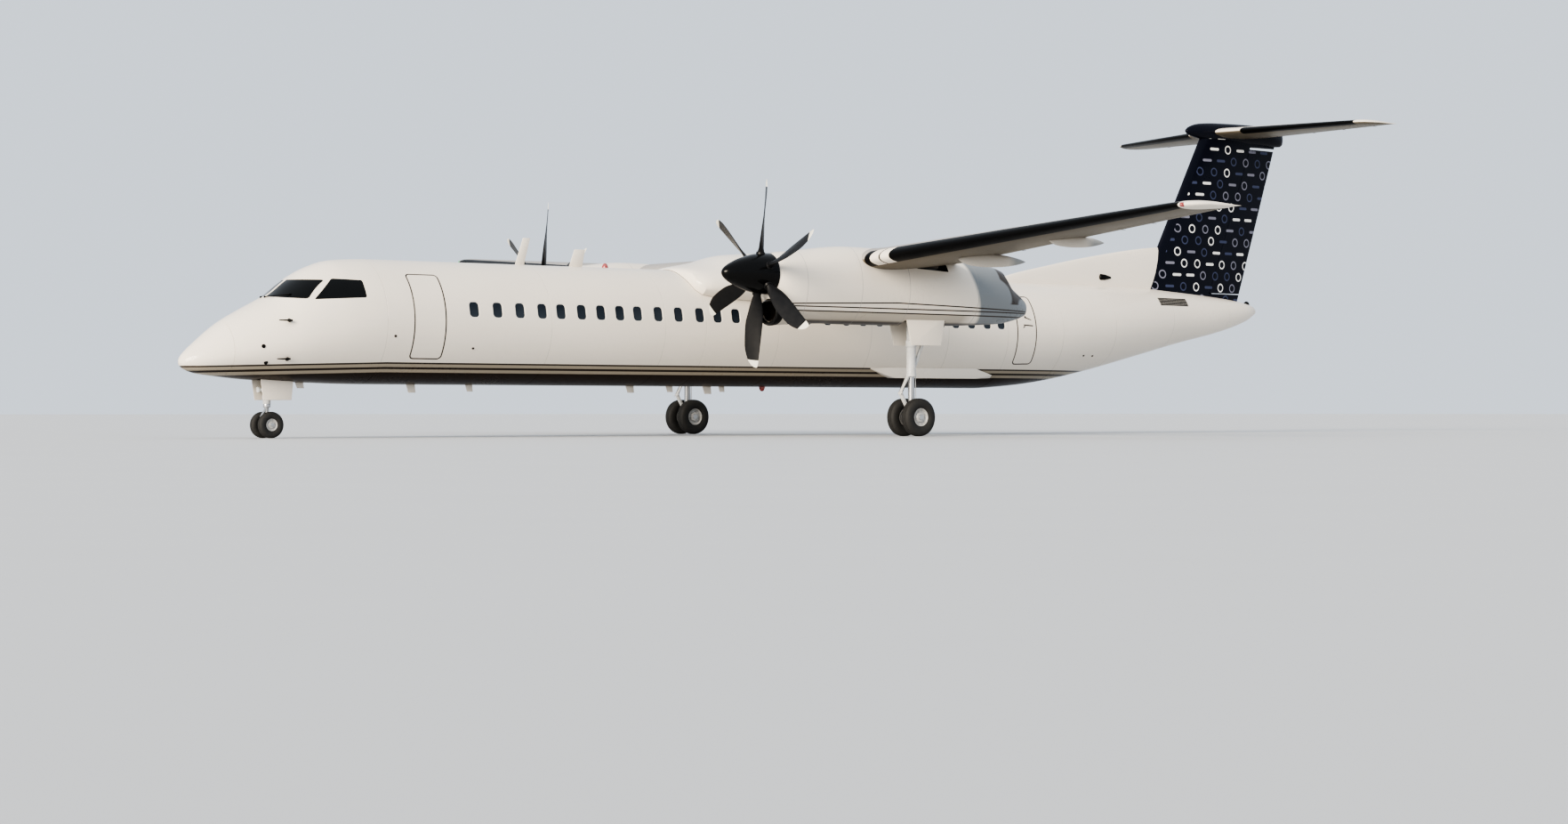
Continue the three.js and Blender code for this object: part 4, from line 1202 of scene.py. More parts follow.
@maker
def nacelle_white(f):
    """White with three thin lines on the side, a grey end and black round the intake, with painted shade in its
    openings and along its bottom.
    """
    paint = scheme()
    x, y, z = along(f)
    out = y - ENGINE_Y * MM
    top = z - 0.5 + abs(x - 15.1) * 0.024  # bent at the wing
    middle = z - 0.38 + (x - 12.0) * 0.003
    low = z - 0.286 + (x - 12.0) * 0.0034
    lines = [(line.near(0.0, 0.013) * x.between(start, 19.33), paint.stripe)
             for line, start in ((top, 11.75), (middle, 12.2), (low, 11.9))]
    rear = (abs(out) + (x - 18.8).most(0.0) * 0.6).below(0.37, 0.02) * x.above(18.3, 0.05) * z.above(0.55)
    seams = x.near(12.55, 0.006) + x.near(14.05, 0.006) + x.near(15.42, 0.006) + x.near(17.5, 0.008)
    (fore, _, _), (aft, half, roof) = [[value * MM for value in corner] for corner in GEAR_WELL]
    well = (x.between(fore - 0.003, aft + 0.003, 0.001)
            * abs(out).below(half + 0.0015, 0.001) * z.below(roof + 0.0015, 0.001))
    (fore, sill), (aft, dip), _, (lean, head) = [[value * MM for value in corner] for corner in EXHAUST_NOTCH]
    notch = (out.above(NOTCH_REACH[0] * MM - 0.001, 0.001) * x.below(aft + 0.002, 0.001)
             * (z + (x - fore) * ((sill - dip) / (aft - fore))).above(sill - 0.0015, 0.001)
             * (x - (z - sill) * ((lean - fore) / (head - sill))).above(fore - 0.003, 0.001))
    # The gear well and the exhaust notch are painted near black inside: painted shade in the recesses.
    inside = well.most(notch)
    across, up = out / 0.384, (z - 0.242) / 0.296
    ring = x.below(11.93) * (across * across + up * up).below(1.0, 0.02)
    colour = f.painted(
        paint.white,
        ((x + (z - 0.7) * 0.35).above(17.5, 0.11), paint.cowl),
        (low.below(0.0) * x.below(17.3, 0.3) * 0.7, paint.band),
        *lines,
        # A dark strip along the bottom: painted shade under the nacelle.
        (z.below(0.09, 0.05) * x.above(12.3), paint.stripe),
        (rear, paint.stripe),
        (seams.least(1.0) * 0.6, SEAM),
        (inside, (0.035, 0.033, 0.03)),
        (ring, (0.004, 0.004, 0.004)),
    )
    return gloss_paint(f, colour, 1 - ring.most(inside) * 0.95, shine=0.2)


@maker
def wing_grey(f):
    """Grey paint with a black rubber boot along the leading edge, and white tips and bands."""
    paint = scheme()
    x, y, z = along(f)
    edge = behind(WING, x, y)
    root, tip = WING[:2]
    climb = (tip.rise - root.rise) / (tip.out - root.out)
    # The underside is painted darker than the top: painted shade under the wing.
    shaded_under = z.below((y - root.out * MM).most(0.0) * climb + root.rise * MM, 0.01)
    lines = (y % 1.42).near(0.4, 0.004) * edge.above(0.35) * y.above(5.2)
    spar = edge.near(0.62, 0.005) + edge.near(1.35, 0.004)
    front = y.above(4.93) * edge.below(0.2)
    slant = y - edge * 0.35
    boot = front * (1 - slant.between(5.1, 5.38)) * (1 - slant.between(5.42, 5.7))
    colour = f.painted(
        paint.wing,
        (shaded_under, paint.underside),
        ((lines + spar).least(1.0) * 0.5, (0.16, 0.15, 0.14)),
        (front * y.below(5.8), paint.white),
        (boot, RUBBER),
        (y.above(13.87), paint.white),
    )
    return gloss_paint(f, colour, 0.5 - boot * 0.48, 0.42, 0.02, 0.12)


@maker
def tail_white(f):
    """White with a grey underside of painted shade, and a black rubber boot along the leading edge."""
    paint = scheme()
    x, y, z = along(f)
    edge = behind(TAILPLANE, x, y)
    boot = edge.below(0.16) * y.between(0.95, 4.3)
    colour = f.painted(
        paint.white,
        # Painted shade on the underside.
        (z.below(5.56, 0.006), paint.underside),
        (boot, RUBBER),
        (edge.near(0.45, 0.004) * 0.5, (0.3, 0.3, 0.3)),
    )
    return gloss_paint(f, colour, 0.7 - boot * 0.67, 0.38, 0.03, 0.14)


@maker
def fin_navy(f):
    """Navy with staggered rows of rings and short bars in white, grey and slate blue."""
    x, _, z = along(f)
    across, up = 0.5, 0.31  # size of a motif's cell
    row = (z / up).floor()
    place = (x + row * 0.23) / across
    column = place.floor()
    u = (place - column - 0.5) * across
    v = (z / up - row - 0.5) * up
    cell = f.place.node("ShaderNodeCombineXYZ", {}, {0: column, 1: row, 2: 0.0})
    chance = cell.node("ShaderNodeTexWhiteNoise", {"noise_dimensions": "3D"}, {0: cell})
    shade = cell.node("ShaderNodeTexWhiteNoise", {"noise_dimensions": "4D"}, {0: cell, 1: 7.0})
    ring = reach_of(u, v).near(0.1, 0.018)
    bar = reach_of((abs(u) - 0.12).most(0.0), v).below(0.036)
    sockets = {0: chance.above(0.5, 0.001), 2: ring, 3: bar}
    motif = ring.node("ShaderNodeMix", {"data_type": "FLOAT"}, sockets)
    tint = f.painted(
        (0.055, 0.065, 0.12),
        (shade.above(0.36, 0.001), (0.2, 0.2, 0.25)),
        (shade.above(0.62, 0.001), (0.78, 0.78, 0.76)),
    )
    colour = f.painted(scheme().navy, (motif * behind(FIN, x, z).above(0.24, 0.01), tint))
    return gloss_paint(f, colour, 0.03, 0.3, 0.04, 0.14)


@maker
def cabin_glass(f):
    """Dark panes, paler towards the bottom where the cabin's light shows."""
    _, _, z = along(f)
    cloud = f.place.noise(1.4, 3.0)
    low = z.ramp(0.09, 0.45, 0.55, 0.0)
    colour = f.painted((0.012, 0.018, 0.028), ((low + cloud * 0.7).most(0.0), (0.05, 0.062, 0.075)))
    return f.set(Base_Color=colour, Roughness=cloud * 0.06 + 0.22, Specular_IOR_Level=0.3)


@maker
def blade_black(f):
    """Black composite with pale tips."""
    _, y, z = along(f)
    fine = f.place.noise(9.0, 4.0)
    colour = f.painted(
        (0.008, 0.008, 0.009),
        (fine * 0.3 + 0.1, (0.035, 0.034, 0.033)),
        (reach_of(y - ENGINE_Y * MM, z - HUB_LEVEL * MM).above(1.9), (0.7, 0.68, 0.6)),
    )
    return f.set(Base_Color=colour, Roughness=fine * 0.15 + 0.38, Specular_IOR_Level=0.3)


def paint_colour(name, description, default):
    return bpy.props.FloatVectorProperty(
        name=name, description=description, subtype="COLOR", min=0, max=1, default=default)


class AirlinerPaint(bpy.types.PropertyGroup):
    """Colours of the paint scheme."""

    white: paint_colour("White", "Cabin, nacelles and tailplane", (0.81, 0.745, 0.655))
    # Bands and belly: partly paint, partly painted shade on the cabin's lower side; the band colour also paints
    # the nacelles' lower cowls.
    band: paint_colour("Bands", "Pale bands between the stripes along the cabin", (0.37, 0.32, 0.25))
    stripe: paint_colour("Stripes", "Thin stripes along the cabin and the nacelles", (0.025, 0.016, 0.011))
    belly: paint_colour("Belly", "Underside of the cabin", (0.017, 0.0075, 0.0025))
    # The underside colour is painted shade: it makes the undersides darker than the upper surfaces.
    underside: paint_colour("Underside", "Underside of the wings and the tailplane", (0.15, 0.125, 0.09))
    cowl: paint_colour("Cowl end", "Rear end of the nacelles", (0.22, 0.24, 0.255))
    navy: paint_colour("Navy", "Fin, rudder and the fairing on top of them", (0.004, 0.005, 0.012))
    wing: paint_colour("Wing", "Wings and flaps", (0.36, 0.34, 0.32))


class AirlinerFittings(bpy.types.PropertyGroup):
    """Sizes of the cabin's fittings."""

    window_width: bpy.props.FloatProperty(
        name="Window width", description="Width of a cabin window's pane", unit="LENGTH", default=0.255)
    window_height: bpy.props.FloatProperty(
        name="Window height", description="Height of a cabin window's pane", unit="LENGTH", default=0.36)
    window_recess: bpy.props.FloatProperty(
        name="Window recess", description="How far a cabin window lies inside the skin", unit="LENGTH",
        default=0.03)


class AirlinerStage(bpy.types.PropertyGroup):
    """The floor, the lights and the camera."""

    lens: bpy.props.FloatProperty(
        name="Lens", description="Focal length on a 36 mm sensor", subtype="DISTANCE_CAMERA", default=66.38)
    camera_height: bpy.props.FloatProperty(
        name="Camera height", description="Height of the camera above the floor", unit="LENGTH", default=0.55)
    daylight: bpy.props.FloatProperty(
        name="Daylight", description="Strength of the soft light from all round", default=0.84)
    sun: bpy.props.FloatProperty(
        name="Sun", description="Strength of the soft light from ahead on the port side", default=4.6)


def hull_part(name, x0, x1, grow=0, seams=()):
    """The cabin's skin between two stations as a solid, with grooves at its seams."""
    stops = {x: grow for x in HULL_PLACES
             if x0 + SEAM_CLEAR < x < x1 - SEAM_CLEAR and all(abs(x - seam) > SEAM_CLEAR for seam in seams)}
    stops.update({x0: grow, x1: grow})
    low, high = SEAM_HALF
    for x in seams:
        stops.update({x - high: grow, x + high: grow})
        stops.update({x - low: grow - SEAM_DEPTH, x + low: grow - SEAM_DEPTH})
    rows = eased(HULL, sorted(stops))
    piece = begin(name)
    rings = [ring for row in rows for ring in oval_rings([row], grow=stops[row[0]])]
    extrude_rings(piece, rings, HULL_SIDES)
    return turn_outwards(piece)


def skin_out(x, z):
    """How far out the cabin's skin lies at a station and a level."""
    _, top, bottom, half_width, widest = eased(HULL, [x])[0]
    reach = top - widest if z > widest else widest - bottom
    return half_width * math.sqrt(max(0.0, 1 - ((z - widest) / reach) ** 2))


def skin_station(y, z):
    """Where along the nose the skin passes through a place across and a level."""
    low, high = 0, HULL[STRAIGHT][0]
    for _ in range(24):
        middle = (low + high) / 2
        if skin_out(middle, z) < y:
            low = middle
        else:
            high = middle
    return high


def door_block(door, depth, gap, corner):
    """A sector of a tube round the cabin's axis, with rounded corners."""
    turn = gap / CABIN_RADIUS
    sill, head = math.radians(door.sill) - turn, math.radians(door.head) + turn
    low, high = CABIN_RADIUS - depth - gap, CABIN_RADIUS + 100
    middle, deep = (low + high) / 2, (high - low) * MM
    centre = ((station(door.x0) + station(door.x1)) / 2,
              door.side * middle * math.cos(sill) * MM, level(middle * math.sin(sill)))
    piece = begin("door_room")
    bpy.ops.mesh.primitive_plane_add(size=1, location=centre, rotation=(door.side * sill, 0, 0))
    size = ((door.x1 - door.x0 + 2 * gap) * MM, deep, deep)
    bpy.ops.transform.resize(value=size, center_override=centre)
    bpy.ops.mesh.spin(steps=16, angle=-door.side * (head - sill), center=(0, 0, level(0)), axis=(1, 0, 0))

    def at_corner(edge):
        a, b = [vertex.co for vertex in edge.verts]
        angles = [math.atan2(co.z - level(0), door.side * co.y) for co in (a, b)]
        return (abs(a.x - b.x) < TINY and abs(angles[0] - angles[1]) < 0.01
                and min(abs(angles[0] - sill), abs(angles[0] - head)) < 0.01)
    return round_edges(turn_outwards(piece), at_corner, corner * MM, 5)


def pane_block(kind, side, grow=0):
    """The room of a cockpit pane, pushed along its axis."""
    axis, reach, outline = PANES[kind]
    middle = [sum(values) / len(outline) for values in zip(*outline)]
    wide = [[v + math.copysign(grow, v - m) for v, m in zip(corner, middle)] for corner in outline]
    piece = begin(f"{kind}_room")
    if axis == "X":
        add_plate([(side * y * MM, level(z)) for y, z in wide], "X", station(reach[0]), station(reach[1]))
    else:
        add_plate([(station(x), level(z)) for x, z in wide], "Y", side * reach[0] * MM, side * reach[1] * MM)
    return round_edges(turn_outwards(piece), runs_along(axis), 0.035)


def window_slab(name, width, height, low, high, hole=0.0):
    """One side's row of rounded slabs, from low to high above the cabin's axis. A hole leaves only a rim."""
    slab = box(name, (-width / 2, low, -height / 2), (width / 2, high, height / 2))
    round_edges(turn_outwards(slab), runs_along("Y"), 0.36 * width, 5)
    if hole:
        edit(slab, "faces")
        pick(slab, lambda face: abs(face.normal.y) > 0.9, "faces")
        bpy.ops.mesh.inset(thickness=hole)
        bpy.ops.mesh.bridge_edge_loops()
    tilt = math.asin(WINDOW_LEVEL / CABIN_RADIUS)
    row = stamped(slab, name, (station(WINDOWS[0]), 0, level(0)), (tilt, 0, 0))
    scrap(slab)
    row.name = name
    edit(row)
    for last, x in zip(WINDOWS, WINDOWS[1:]):
        bpy.ops.mesh.duplicate_move(TRANSFORM_OT_translate={"value": ((x - last) * MM, 0, 0)})
    return turn_outwards(row)


def block_of(name, room, y=0):
    """A block between two corners given as station, place across and level."""
    (x0, y0, z0), (x1, y1, z1) = room
    return box(name, (station(x0), (y + y0) * MM, level(z0)), (station(x1), (y + y1) * MM, level(z1)))


class BuildHull(bpy.types.Operator):
    """Cabin skin, radome and tail cone, with openings for the panes, windows, doors and nose gear"""
    bl_idname = "airliner.hull"
    bl_label = "Cabin skin"

    def execute(self, context):
        fittings = context.scene.airliner_fittings
        hull = hull_part("cabin_skin", RADOME_STATION + END_GAP, TAIL_CONE_STATION - END_GAP, seams=SKIN_SEAMS)
        radius = CABIN_RADIUS * MM
        row = window_slab("window_room", fittings.window_width, fittings.window_height,
                          radius - fittings.window_recess, radius + 0.05)
        carve(hull, merged("window_rooms", [row, stamped(row, "window_room_port", flip=True)]))
        rooms = []
        for door in DOORS.values():
            depth = door.depth + (TREAD.depth if door is STAIR_DOOR else 0)
            rooms.append(door_block(door, depth, door.gap, door.corner + 5))
        carve(hull, merged("rooms", [*rooms, block_of("nose_bay", NOSE_BAY)]))
        for kind in PANES:
            room = carve(pane_block(kind, -1), hull_part("core", *PANE_BED))
            carve(hull, merged("pane_rooms", [room, stamped(room, "pane_room_right", flip=True)]))
        radome = hull_part("radome_skin", 0, RADOME_STATION - END_GAP)
        tail = hull_part("tail_cone_skin", TAIL_CONE_STATION + END_GAP, HULL[-1][0])
        edit(tail, "faces")
        pick(tail, lambda face: face.calc_center_median().x > station(HULL[-1][0] - 2), "faces")
        rim, depth = TAIL_OUTLET
        bpy.ops.mesh.inset(thickness=rim)
        push((-depth, 0, 0))
        for piece, node in ((hull, "fuselage"), (radome, "radome"), (tail, "tail_cone")):
            dress(piece, "cabin_white", stands_for=[node])
        return {"FINISHED"}


class BuildPanes(bpy.types.Operator):
    """Cockpit panes and cabin windows"""
    bl_idname = "airliner.panes"
    bl_label = "Windows"

    def execute(self, context):
        for kind in PANES:
            pane = carve(pane_block(kind, -1, -PANE_GAP), hull_part("core", *PANE_BED))
            carve(pane, hull_part("crust", *PANE_FACE), "INTERSECT")
            pane.name = f"cockpit_{kind}_left"
            other = stamped(pane, f"cockpit_{kind}_right", flip=True)
            dress(pane, "dark_glass", stands_for=[f"{kind}_left"])
            dress(other, "dark_glass", stands_for=[f"{kind}_right"])
        fittings = context.scene.airliner_fittings
        wide, high = fittings.window_width, fittings.window_height
        floor = CABIN_RADIUS * MM - fittings.window_recess
        for kind, gap, top, hole, look in (("panes", 0.004, 0.008, 0.0, "cabin_glass"),
                                           ("rims", 0.002, 0.014, 0.013, "window_rim")):
            piece = window_slab(f"cabin_{kind}_right", wide - gap, high - gap, floor - 0.004, floor + top, hole)
            other = stamped(piece, f"cabin_{kind}_left", flip=True)
            dress(piece, look)
            dress(other, look)
        return {"FINISHED"}


class BuildDoors(bpy.types.Operator):
    """Stair door with its treads, rear door and service door"""
    bl_idname = "airliner.doors"
    bl_label = "Doors"

    def execute(self, context):
        for name, door in DOORS.items():
            panel = hull_part(f"{name}_panel", door.x0 - 300, door.x1 + 300)
            carve(panel, door_block(door, door.depth, 0, door.corner), "INTERSECT")
            dress(bevelled(panel, 0.003, 1), "door_white", door.body, [name])
        treads = begin("stair_treads")
        depth = TREAD.depth + TREAD_SUNK
        middle = CABIN_RADIUS - STAIR_DOOR.depth + TREAD_SUNK - depth / 2
        step = (STAIR_DOOR.head - STAIR_DOOR.sill) / (TREAD.count + 1)
        for i in range(TREAD.count):
            angle = math.radians(STAIR_DOOR.sill + step * (i + 1))
            place = ((station(TREAD.x0) + station(TREAD.x1)) / 2,
                     -middle * math.cos(angle) * MM, level(middle * math.sin(angle)))
            size = [value * MM for value in (TREAD.x1 - TREAD.x0, depth, TREAD.thick)]
            bpy.ops.mesh.primitive_cube_add(size=1, location=place, rotation=(-angle, 0, 0), scale=size)
        dress(bevelled(treads, 0.006), "tread_grip", STAIR_DOOR.body)
        return {"FINISHED"}


class BuildFairings(bpy.types.Operator):
    """Wing fairing, belly fairings, dorsal fin and bullet fairing"""
    bl_idname = "airliner.fairings"
    bl_label = "Fairings"

    def execute(self, context):
        for name, table, step, sides, look, slot in (
                ("wing_fairing", WING_FAIRING, 200, POD_SIDES, "fairing_white", "paint_white"),
                ("dorsal_fin", DORSAL_FIN, 300, SMALL_SIDES, "plain_white", "paint_white"),
                ("bullet_fairing", BULLET, 120, ROUND_SIDES, "plain_navy", "paint_navy")):
            fairing = oval_body(f"{name}_skin", curved(table, step), sides)
            dress(fairing, look, stands_for=[name])
        for name in SIDES:
            low = from_solid(f"belly_fairing_{name}", f"belly_fairing_skin_{name}", 0.015)
            dress(low, "plain_white", stands_for=[f"belly_fairing_{name}"])
        return {"FINISHED"}


class BuildWings(bpy.types.Operator):
    """Wings with their flaps and ailerons"""
    bl_idname = "airliner.wings"
    bl_label = "Wings"

    def execute(self, context):
        whole = foil_body("wing_whole", both_ways(WING), WING_CAMBER)
        joint = WING[0].out * MM
        centre = slice_off(twin(whole, "wing_centre_skin"), (0, joint, 0), (0, 1, 0))
        slice_off(centre, (0, -joint, 0), (0, -1, 0))
        flat = [WING[0]._replace(out=0), WING[0]]
        wing = slice_off(twin(whole, "wing"), (0, joint + 0.002, 0), (0, -1, 0))
        outer = split_flap(wing, "outer_flap", hinge_ends(WING, OUTER_FLAP, WING_CAMBER))
        aileron = split_panel(wing, "aileron", hinge_ends(WING, AILERON, WING_CAMBER))
        for name, side in SIDES.items():
            ends = hinge_ends(flat, INNER_FLAP, WING_CAMBER, side=side)
            inner = split_flap(centre, f"inner_flap_skin_{name}", ends)
            dress(inner, "wing_grey", stands_for=[f"inner_flap_{name}"])
            for piece, node in ((wing, "wing"), (outer, "outer_flap"), (aileron, "aileron")):
                copy = stamped(piece, f"{node}_skin_{name}", flip=side < 0)
                body = f"aileron_{name}_body" if node == "aileron" else "airframe"
                dress(copy, "wing_grey", body, [f"{node}_{name}"])
            for i, row in enumerate(TRACK_FAIRINGS):
                self.track_fairing(f"track_fairing_{name}_{i + 1}", side, *row)
        dress(centre, "wing_grey", stands_for=["wing_centre"])
        scrap(whole, wing, outer, aileron)
        return {"FINISHED"}

    def track_fairing(self, name, side, y, x0, x1, z, half_height, half_width):
        rows = [(x0 + (x1 - x0) * share, z + half_height * size, z - half_height * size, half_width * size, z)
                for share, size in CANOE]
        dress(oval_body(name, curved(rows, 90), SMALL_SIDES, side * y), "track_white")


class BuildTail(bpy.types.Operator):
    """Fin, rudder, tailplane and elevators"""
    bl_idname = "airliner.tail"
    bl_label = "Tail"

    def execute(self, context):
        fin = foil_body("fin_skin", FIN, upright=True)
        rudder = split_panel(fin, "rudder_skin", hinge_ends(FIN, RUDDER, upright=True), True, TOP_CLEAR)
        dress(fin, "fin_navy", stands_for=["fin"])
        dress(rudder, "fin_navy", "rudder_body", ["rudder"])
        tailplane = foil_body("tailplane_skin", both_ways(TAILPLANE))
        for name, side in SIDES.items():
            ends = hinge_ends(TAILPLANE, ELEVATOR, side=side)
            elevator = split_panel(tailplane, f"elevator_skin_{name}", ends)
            dress(elevator, "tail_white", f"elevator_{name}_body", [f"elevator_{name}"])
        dress(tailplane, "tail_white", stands_for=["tailplane"])
        return {"FINISHED"}


class BuildNacelles(bpy.types.Operator):
    """Nacelles with their intakes, wells and exhausts"""
    bl_idname = "airliner.nacelles"
    bl_label = "Nacelles"

    def execute(self, context):
        for name, side in SIDES.items():
            self.pod(name, side, side * ENGINE_Y)
            self.intake(name, side * ENGINE_Y)
            self.exhaust(name, side, side * ENGINE_Y)
            engine = bpy.data.objects[f"engine_{name}"]
            engine.data.materials.clear()
            engine.data.materials.append(finish("dark_metal"))
        return {"FINISHED"}

    def pod(self, name, side, y):
        pod = oval_body(f"nacelle_skin_{name}", curved(NACELLE, 160), POD_SIDES, y)
        carve(pod, oval_body("chin", curved(CHIN, 120), POD_SIDES, y), "UNION")
        carve(pod, oval_body("intake", curved(INTAKE, 300), ROUND_SIDES, y))
        notch = begin("notch")
        corners = [(station(x), level(z)) for x, z in EXHAUST_NOTCH]
        add_plate(corners, "Y", *[(y + side * out) * MM for out in NOTCH_REACH])
        carve(pod, merged("rooms", [turn_outwards(notch), block_of("gear_well", GEAR_WELL, y)]))
        dress(pod, "nacelle_white", stands_for=[f"nacelle_{name}"])

    def intake(self, name, y):
        lip = begin(f"intake_lip_{name}")
        extrude_rings(lip, oval_rings(INTAKE_LIP, y), ROUND_SIDES, hollow=True)
        close_ring()
        dress(turn_outwards(lip), "boot_black", angle=ROLLED)
        duct = begin(f"intake_duct_{name}")
        wall = eased(INTAKE, DUCT)
        rings = oval_rings(wall, y, DUCT_FACES[0]) + oval_rings(wall[::-1], y, DUCT_FACES[1])
        extrude_rings(duct, rings, ROUND_SIDES, hollow=True)
        close_ring()
        extrude_rings(duct, oval_rings(eased(INTAKE, DUCT_PLATE), y, DUCT_PLATE_FACE), ROUND_SIDES)
        dress(turn_outwards(duct), "dark_metal")

    def exhaust(self, name, side, y):
        place, pivot = [(station(x), (y + side * out) * MM, level(z))
                        for x, out, z in (EXHAUST_PLACE, EXHAUST_PIVOT)]
        pipe = begin(f"exhaust_{name}")
        turned(EXHAUST_PIPE, place, axis="X", closed=True)
        turned(EXHAUST_DISC, place, axis="X")
        edit(pipe)
        bpy.ops.transform.rotate(value=-side * EXHAUST_TURN, orient_axis="Z", center_override=pivot)
        dress(turn_outwards(pipe), "dark_metal")


def blade_piece():
    """One blade that points up from the hub's centre, with its shank."""
    blade = begin("blade")
    rows = eased(BLADE, sorted({*spaced(BLADE[:-1], 110), BLADE[-1][0]}))
    for radius, chord, thick, pitch, sweep in rows:
        turn = math.radians(pitch)
        aft = ((0.5 - BLADE_AXIS) * chord + sweep) * MM
        centre = (aft * math.sin(turn), aft * math.cos(turn), radius * MM)
        bpy.ops.mesh.primitive_circle_add(vertices=24, radius=chord / 2 * MM, location=centre)
        bpy.ops.transform.resize(value=(1, BLADE_FULLNESS * thick, 1), center_override=centre)
        bpy.ops.transform.rotate(value=turn - math.pi / 2, orient_axis="Z", center_override=centre)
    bpy.ops.mesh.select_all(action="SELECT")
    bpy.ops.mesh.bridge_edge_loops()
    bpy.ops.mesh.select_all(action="SELECT")
    bpy.ops.mesh.fill_holes(sides=0)
    turned(SHANK, (0, 0, 0), 24)
    return turn_outwards(blade)


class BuildPropellers(bpy.types.Operator):
    """Propellers with six swept blades and a spinner each"""
    bl_idname = "airliner.propellers"
    bl_label = "Propellers"

    def execute(self, context):
        blade = blade_piece()
        for name, side in SIDES.items():
            axis = (0, side * ENGINE_Y * MM, level(HUB_LEVEL))
            centre = (station(BLADE_STATION), *axis[1:])
            core = begin("core")
            turned([(station(x), radius * MM) for x, radius in HUB], axis, ROUND_SIDES, "X")
            parts = [turn_outwards(core)]
            for i in range(BLADES):
                turn = math.radians(BLADE_REST + 360 / BLADES * i)
                parts.append(stamped(blade, f"blade_{i}", centre, (turn, 0, 0)))
            body = f"propeller_{name}_body"
            blades = merged(f"propeller_blades_{name}", parts)
            dress(blades, "blade_black", body, [f"propeller_{name}"])
            spinner = begin(f"spinner_shell_{name}")
            turned([(station(x), radius * MM) for x, radius in curved(SPINNER, 70)], axis, POD_SIDES, "X")
            dress(turn_outwards(spinner), "spinner_black", body, [f"spinner_{name}"])
        scrap(blade)
        return {"FINISHED"}


def wheel_pair(leg, wheel, centre, body):
    """Two tyres and two rims on one axle. The leg's name starts the names of its solids."""
    wide, rim = wheel.width / MAIN_WHEEL.width, wheel.rim / MAIN_WHEEL.rim
    grow = (wheel.radius - wheel.rim) / (MAIN_WHEEL.radius - MAIN_WHEEL.rim)
    tyre_rows = [(place * wide, (wheel.rim + (radius / MM - MAIN_WHEEL.rim) * grow) * MM)
                 for place, radius in TYRE]
    rim_rows = [(place * wide, radius * rim) for place, radius in RIM]
    for name, way in SIDES.items():
        middle = Vector(centre) + Vector((0, way * wheel.spread * MM, 0))
        tyre = begin(f"{leg}_wheel_tyre_{name}")
        turned(both_faces(tyre_rows), middle, POD_SIDES, "Y", closed=True)
        dress(turn_outwards(tyre), "tyre_rubber", body, [f"{leg}_tyre_{name}"])
        disc = begin(f"{leg}_wheel_disc_{name}")
        turned(both_faces(rim_rows), middle, ROUND_SIDES, "Y", closed=True)
        out, across, thick = WHEEL_BOLT
        face = Vector((0, way * across * wide, 0))
        for i in range(WHEEL_BOLTS):
            turn = 2 * math.pi * i / WHEEL_BOLTS
            bolt = Vector((math.cos(turn), 0, math.sin(turn))) * out * rim + middle
            add_rod(bolt + face, bolt + face * 1.3, thick * rim, sides=6)
        dress(turn_outwards(disc), "rim_white", body, [f"{leg}_rim_{name}"])


def add_links(links, pin, x, y):
    """Torque links ahead of a leg: plates pierced by a pin at the joint between them."""
    for half_width, outline in links:
        add_plate([(x - ahead, height) for ahead, height in outline], "Y", y - half_width, y + half_width)
    (_, lower), (half_width, _) = links
    ahead, height = [(a + b) / 2 for a, b in zip(lower[1], lower[2])]
    half = half_width + 0.012
    add_rod((x - ahead, y - half, height), (x - ahead, y + half, height), pin, sides=16)


def gear_door(name, sheet):
    dress(from_solid(name, sheet, 0.006), "door_white", stands_for=[name])


